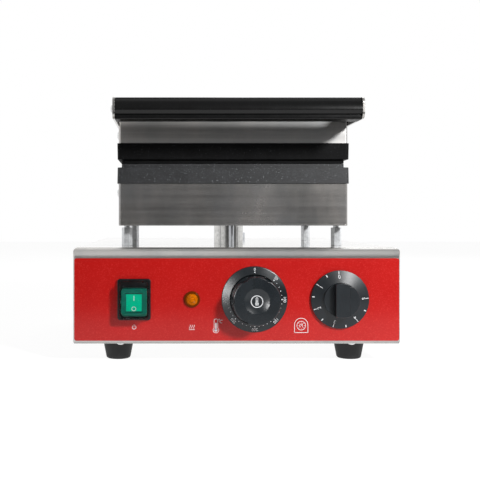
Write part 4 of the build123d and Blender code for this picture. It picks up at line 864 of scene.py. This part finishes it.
# Prisms on the signal lamp's domed lens
lens_r, lens_rim, lens_top = 5.4 * mm, 2.2 * mm, 4.6 * mm
lens_dome = lens_top - lens_rim
lens_sphere_r = (lens_r**2 + lens_dome**2) / (2 * lens_dome)
prism_reach = lens_r - 0.2 * mm
prism_rows, prism_rise, prism_t, prism_sunk = 14, 0.26 * mm, 0.14 * mm, 0.1 * mm
prism_form = bmesh.new()
bmesh.ops.create_grid(prism_form, x_segments=prism_rows, y_segments=prism_rows, size=lens_r)
outside = [
    face for face in prism_form.faces if max(vert.co.length for vert in face.verts) > prism_reach
]
bmesh.ops.delete(prism_form, geom=outside, context="FACES")
bmesh.ops.poke(prism_form, faces=prism_form.faces, offset=prism_rise, center_mode="MEAN")
laid_on(prism_form, lambda r: lens_top - lens_sphere_r + sqrt(lens_sphere_r**2 - r**2) - prism_sunk)
thicken(prism_form, prism_t)
prism_form.transform(round_place("lamp_lens"))
prisms = finish_piece("lamp_lens_prisms", prism_form, finishes["amber_lens"], "base")
prisms.data.shade_flat()

# Signs on the panel are placed from its middle line and from the table
panel_face = front_frame(0, 0)

# Temperature sign: a thermometer with a degree ring and a C beside its top
glass_x, glass_low, glass_high, glass_stroke = -19.7 * mm, 29.5 * mm, 42.7 * mm, 0.45 * mm
degree_x, degree_z = -16.8 * mm, 42.1 * mm
letter_x, letter_z = -14.6 * mm, 40.2 * mm
degree_form = bmesh.new()
ink_thermometer(
    degree_form, glass_x, glass_low, glass_high, bulb_r=2.6 * mm, tube_r=1.7 * mm, stroke=glass_stroke
)
ink_ring(degree_form, degree_x, degree_z, radius=0.5 * mm, width=0.3 * mm, steps=20)
ink_ring(
    degree_form, letter_x, letter_z, radius=1.35 * mm, width=glass_stroke, steps=24, start=50, sweep=260
)
printed("temperature_sign", degree_form, panel_face, "base")

# Timer sign: a round face with eight strokes, an open ring and a hand, under an arch
arch_x, arch_low, arch_high = 60.9 * mm, 29.8 * mm, 43.4 * mm
arch_half, arch_stroke = 6.3 * mm, 0.55 * mm
arch_spring = arch_high - arch_half
foot_half = arch_half + 0.27 * mm
face_z, hand_w = 36.3 * mm, 0.45 * mm
stroke_n, stroke_inner_r, stroke_outer_r, stroke_w = 8, 2.6 * mm, 3.3 * mm, 0.4 * mm
clock_form = bmesh.new()
ink_ring(clock_form, arch_x, arch_spring, arch_half, arch_stroke, steps=36, start=0, sweep=180)
for side_x in (arch_x - arch_half, arch_x + arch_half):
    ink_bar(clock_form, (side_x, arch_low), (side_x, arch_spring), arch_stroke)
ink_bar(clock_form, (arch_x - foot_half, arch_low), (arch_x + foot_half, arch_low), arch_stroke)
ink_ring(clock_form, arch_x, face_z, radius=4.1 * mm, width=0.5 * mm, steps=40)
ink_ring(clock_form, arch_x, face_z, radius=1.5 * mm, width=hand_w, steps=28, start=-60, sweep=300)
ink_bar(clock_form, (arch_x, face_z), (arch_x + 1.0 * mm, face_z + 1.9 * mm), hand_w)
for step in range(stroke_n):
    turn = radians(360 / stroke_n * step)
    start = (arch_x + stroke_inner_r * cos(turn), face_z + stroke_inner_r * sin(turn))
    end = (arch_x + stroke_outer_r * cos(turn), face_z + stroke_outer_r * sin(turn))
    ink_bar(clock_form, start, end, stroke_w)
printed("timer_sign", clock_form, panel_face, "base")

# Power sign under the switch: an open ring with a stroke in its gap
power_x, power_z, power_stroke = middle("switch_frame").x, 34.8 * mm, 0.5 * mm
power_form = bmesh.new()
ink_ring(
    power_form, power_x, power_z, radius=1.75 * mm, width=power_stroke, steps=40, start=125, sweep=290
)
ink_bar(power_form, (power_x, power_z + 0.3 * mm), (power_x, power_z + 2.5 * mm), power_stroke)
printed("power_sign", power_form, panel_face, "base")

# Heat sign under the lamp: three waves of two bows over a line
heat_x, heat_z, heat_stroke = middle("lamp_lens").x, 35.2 * mm, 0.42 * mm
wave_gap, wave_half, bow_r, bow_sweep = 1.9 * mm, 0.85 * mm, 0.95 * mm, 128
line_half, line_z = 2.7 * mm, heat_z - 2.6 * mm
heat_form = bmesh.new()
for column in (-1, 0, 1):
    wave_x = heat_x + wave_gap * column
    for bow_x, bow_z, start in ((-0.35 * mm, wave_half, -64), (0.5 * mm, -wave_half, 116)):
        ink_ring(heat_form, wave_x + bow_x, heat_z + bow_z, bow_r, heat_stroke, 14, start, bow_sweep)
ink_bar(heat_form, (heat_x - line_half, line_z), (heat_x + line_half, line_z), heat_stroke)
printed("heat_sign", heat_form, panel_face, "base")


# Ribbed hose from the cabinet to the lid

def smooth_line(points):
    """Points read from a smooth spline whose control points are given."""
    curve = bpy.data.curves.new("line", "CURVE")
    curve.dimensions = "3D"
    curve.resolution_u = 24
    spline = curve.splines.new("NURBS")
    spline.points.add(len(points) - 1)
    for knot, point in zip(spline.points, points):
        knot.co = (*point, 1.0)
    spline.order_u = 3
    spline.use_endpoint_u = True
    line = read_curve(curve)
    walk = [vert.co.copy() for vert in line.vertices]
    bpy.data.meshes.remove(line)
    return walk


def along_walk(walk, count):
    """Evenly spaced places with their headings along a walk."""
    lengths = [0.0]
    for first, second in zip(walk, walk[1:]):
        lengths.append(lengths[-1] + (second - first).length)
    places = []
    leg = 0
    for step in range(count + 1):
        want = lengths[-1] * step / count
        while leg < len(walk) - 2 and lengths[leg + 1] < want:
            leg += 1
        share = (want - lengths[leg]) / (lengths[leg + 1] - lengths[leg])
        heading = (walk[leg + 1] - walk[leg]).normalized()
        places.append((walk[leg].lerp(walk[leg + 1], share), heading))
    return places


lower_fitting, upper_fitting = middle("hose_fitting_lower"), middle("hose_fitting_upper")
hose_start = Vector((lower_fitting.x, lower_fitting.y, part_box("hose_fitting_lower")[1].z))
hose_end = Vector((upper_fitting.x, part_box("hose_fitting_upper")[1].y, upper_fitting.z))
hose_rise, hose_bulge = 30 * mm, 6 * mm
hose_walk = smooth_line([
    hose_start,
    hose_start + Vector((0, 0, hose_rise)),
    Vector((hose_end.x, hose_start.y + hose_bulge, hose_end.z)),
    hose_end,
])
rib_n, rings_per_rib, bore_rings, ring_sides = 44, 8, 60, 28
hose_root, rib_rise, hose_bore = 5.15 * mm, 0.95 * mm, 4.0 * mm
hose_form = bmesh.new()


def hose_ring(place, heading, radius):
    """Circle of edges across the hose."""
    side = (Vector((1, 0, 0)) - heading * heading.x).normalized()
    turn = Matrix((side, heading.cross(side), heading)).transposed().to_4x4()
    made = bmesh.ops.create_circle(
        hose_form, segments=ring_sides, radius=radius, matrix=Matrix.Translation(place) @ turn
    )
    return list({edge for vert in made["verts"] for edge in vert.link_edges})


loops = []
for step, (place, heading) in enumerate(along_walk(hose_walk, rib_n * rings_per_rib)):
    crest = sin(pi * (step % rings_per_rib) / rings_per_rib) ** 0.7
    loops.append(hose_ring(place, heading, hose_root + rib_rise * crest))
for place, heading in reversed(along_walk(hose_walk, bore_rings)):
    loops.append(hose_ring(place, heading, hose_bore))
for first, second in zip(loops, loops[1:] + loops[:1]):
    bmesh.ops.bridge_loops(hose_form, edges=first + second)
bmesh.ops.recalc_face_normals(hose_form, faces=hose_form.faces)
ribbed_hose = finish_piece("ribbed_hose", hose_form, finishes["hose_steel"], None, ["hose"])
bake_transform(ribbed_hose)


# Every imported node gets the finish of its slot; the inner ones show as they are
for node in frame["nodes"]:
    kept(node)


# Floor and light

def make_floor():
    """Pale floor that reads as white paper and still takes the object's shadow."""
    half_size, setback = 2.0, 1.48
    form = bmesh.new()
    bmesh.ops.create_grid(
        form, x_segments=1, y_segments=1, size=half_size, matrix=Matrix.Translation((0, setback, 0))
    )
    mesh = bpy.data.meshes.new("floor")
    form.to_mesh(mesh)
    form.free()
    floor = bpy.data.objects.new("floor", mesh)
    bpy.context.scene.collection.objects.link(floor)
    material, tree, shader = new_material("white_paper")
    feed(tree, shader, Base_Color=(0.9, 0.9, 0.9), Roughness=0.9)
    glow = put(tree, "ShaderNodeEmission")
    feed(tree, glow, Color=(1.0, 1.0, 1.0), Strength=1.2)
    path = put(tree, "ShaderNodeLightPath")
    mix = put(tree, "ShaderNodeMixShader")
    output = next(node for node in tree.nodes if node.type == "OUTPUT_MATERIAL")
    seen = maths(tree, "MAXIMUM", path.outputs["Is Camera Ray"], path.outputs["Is Glossy Ray"])
    seen = maths(tree, "MAXIMUM", seen, path.outputs["Is Transmission Ray"])
    tree.links.new(maths(tree, "MULTIPLY", seen, 0.76), mix.inputs["Fac"])
    tree.links.new(shader.outputs["BSDF"], mix.inputs[1])
    tree.links.new(glow.outputs["Emission"], mix.inputs[2])
    tree.links.new(mix.outputs[0], output.inputs["Surface"])
    mesh.materials.append(material)


def make_world():
    """White behind the object; a plain room that is darker on the camera's side for all else."""
    world = bpy.data.worlds.new("studio")
    world.use_nodes = True
    tree = world.node_tree
    tree.nodes.clear()
    where = put(tree, "ShaderNodeTexCoord")
    parts = put(tree, "ShaderNodeSeparateXYZ")
    tree.links.new(where.outputs["Generated"], parts.inputs[0])
    aside, depth, level = [maths(tree, "MULTIPLY_ADD", parts.outputs[axis], 0.5, 0.5) for axis in "XYZ"]
    behind = ramp(tree, depth, (0.47, 0.0), (0.66, 1.0))
    # Greys of the room's front half, by height and from its left side to its right
    height = ramp(tree, level, (0.44, 0.01), (0.49, 0.04), (0.52, 0.12), (0.56, 0.17), (0.75, 0.28))
    beside = ramp(tree, aside, (0.1, 0.8), (0.21, 0.6), (0.3, 0.12), (0.47, 0.02), (0.9, 0.06), (1.0, 0.9))
    front = put(tree, "ShaderNodeVectorMath", operation="ADD")
    tree.links.new(height, front.inputs[0])
    tree.links.new(beside, front.inputs[1])
    path = put(tree, "ShaderNodeLightPath")
    mirrored = maths(tree, "MAXIMUM", path.outputs["Is Glossy Ray"], path.outputs["Is Transmission Ray"])
    room = put(tree, "ShaderNodeBackground")
    feed(
        tree, room, Color=blended(tree, behind, front.outputs[0], (1.05, 1.05, 1.05)),
        Strength=maths(tree, "MULTIPLY_ADD", mirrored, 0.72, 0.28),
    )
    paper = put(tree, "ShaderNodeBackground")
    feed(tree, paper, Color=(1.0, 1.0, 1.0))
    mix = put(tree, "ShaderNodeMixShader")
    output = put(tree, "ShaderNodeOutputWorld")
    tree.links.new(path.outputs["Is Camera Ray"], mix.inputs["Fac"])
    tree.links.new(room.outputs[0], mix.inputs[1])
    tree.links.new(paper.outputs[0], mix.inputs[2])
    tree.links.new(mix.outputs[0], output.inputs["Surface"])
    bpy.context.scene.world = world


lamp_aim = Vector((0.0, 0.0, 0.12))


def area_light(name, place, size, power):
    """Square soft box at place that looks at the machine's middle."""
    data = bpy.data.lights.new(name, "AREA")
    data.shape = "SQUARE"
    data.size = size
    data.energy = power
    lamp = bpy.data.objects.new(name, data)
    lamp.location = place
    lamp.rotation_euler = (lamp_aim - Vector(place)).to_track_quat("-Z", "Y").to_euler()
    bpy.context.scene.collection.objects.link(lamp)


def choose_lit(lamp, pieces, state="INCLUDE"):
    """Limits a lamp to the named pieces, or keeps it off them with the state EXCLUDE."""
    chosen = bpy.data.collections.new("lit_by_" + lamp)
    for piece in pieces:
        chosen.objects.link(bpy.data.objects[piece])
    bpy.data.objects[lamp].light_linking.receiver_collection = chosen
    for entry in chosen.collection_objects:
        entry.light_linking.link_state = state


make_floor()
make_world()
area_light("key_light", (0.60, -1.0, 0.62), size=0.16, power=13.0)
area_light("dial_light", (-0.50, -1.2, 0.16), size=0.3, power=7.0)
area_light("cover_light", (-0.1, -0.82, 0.92), size=1.4, power=2.7)
area_light("back_light", (0.5, 1.4, 1.2), size=0.9, power=6.0)
choose_lit("key_light", ["base_cover_finished"], "EXCLUDE")
choose_lit("dial_light", ["temperature_scale_ring_finished", "temperature_knob_finished"])
choose_lit("cover_light", ["base_cover_finished"])

bpy.context.scene.view_settings.view_transform = "Standard"
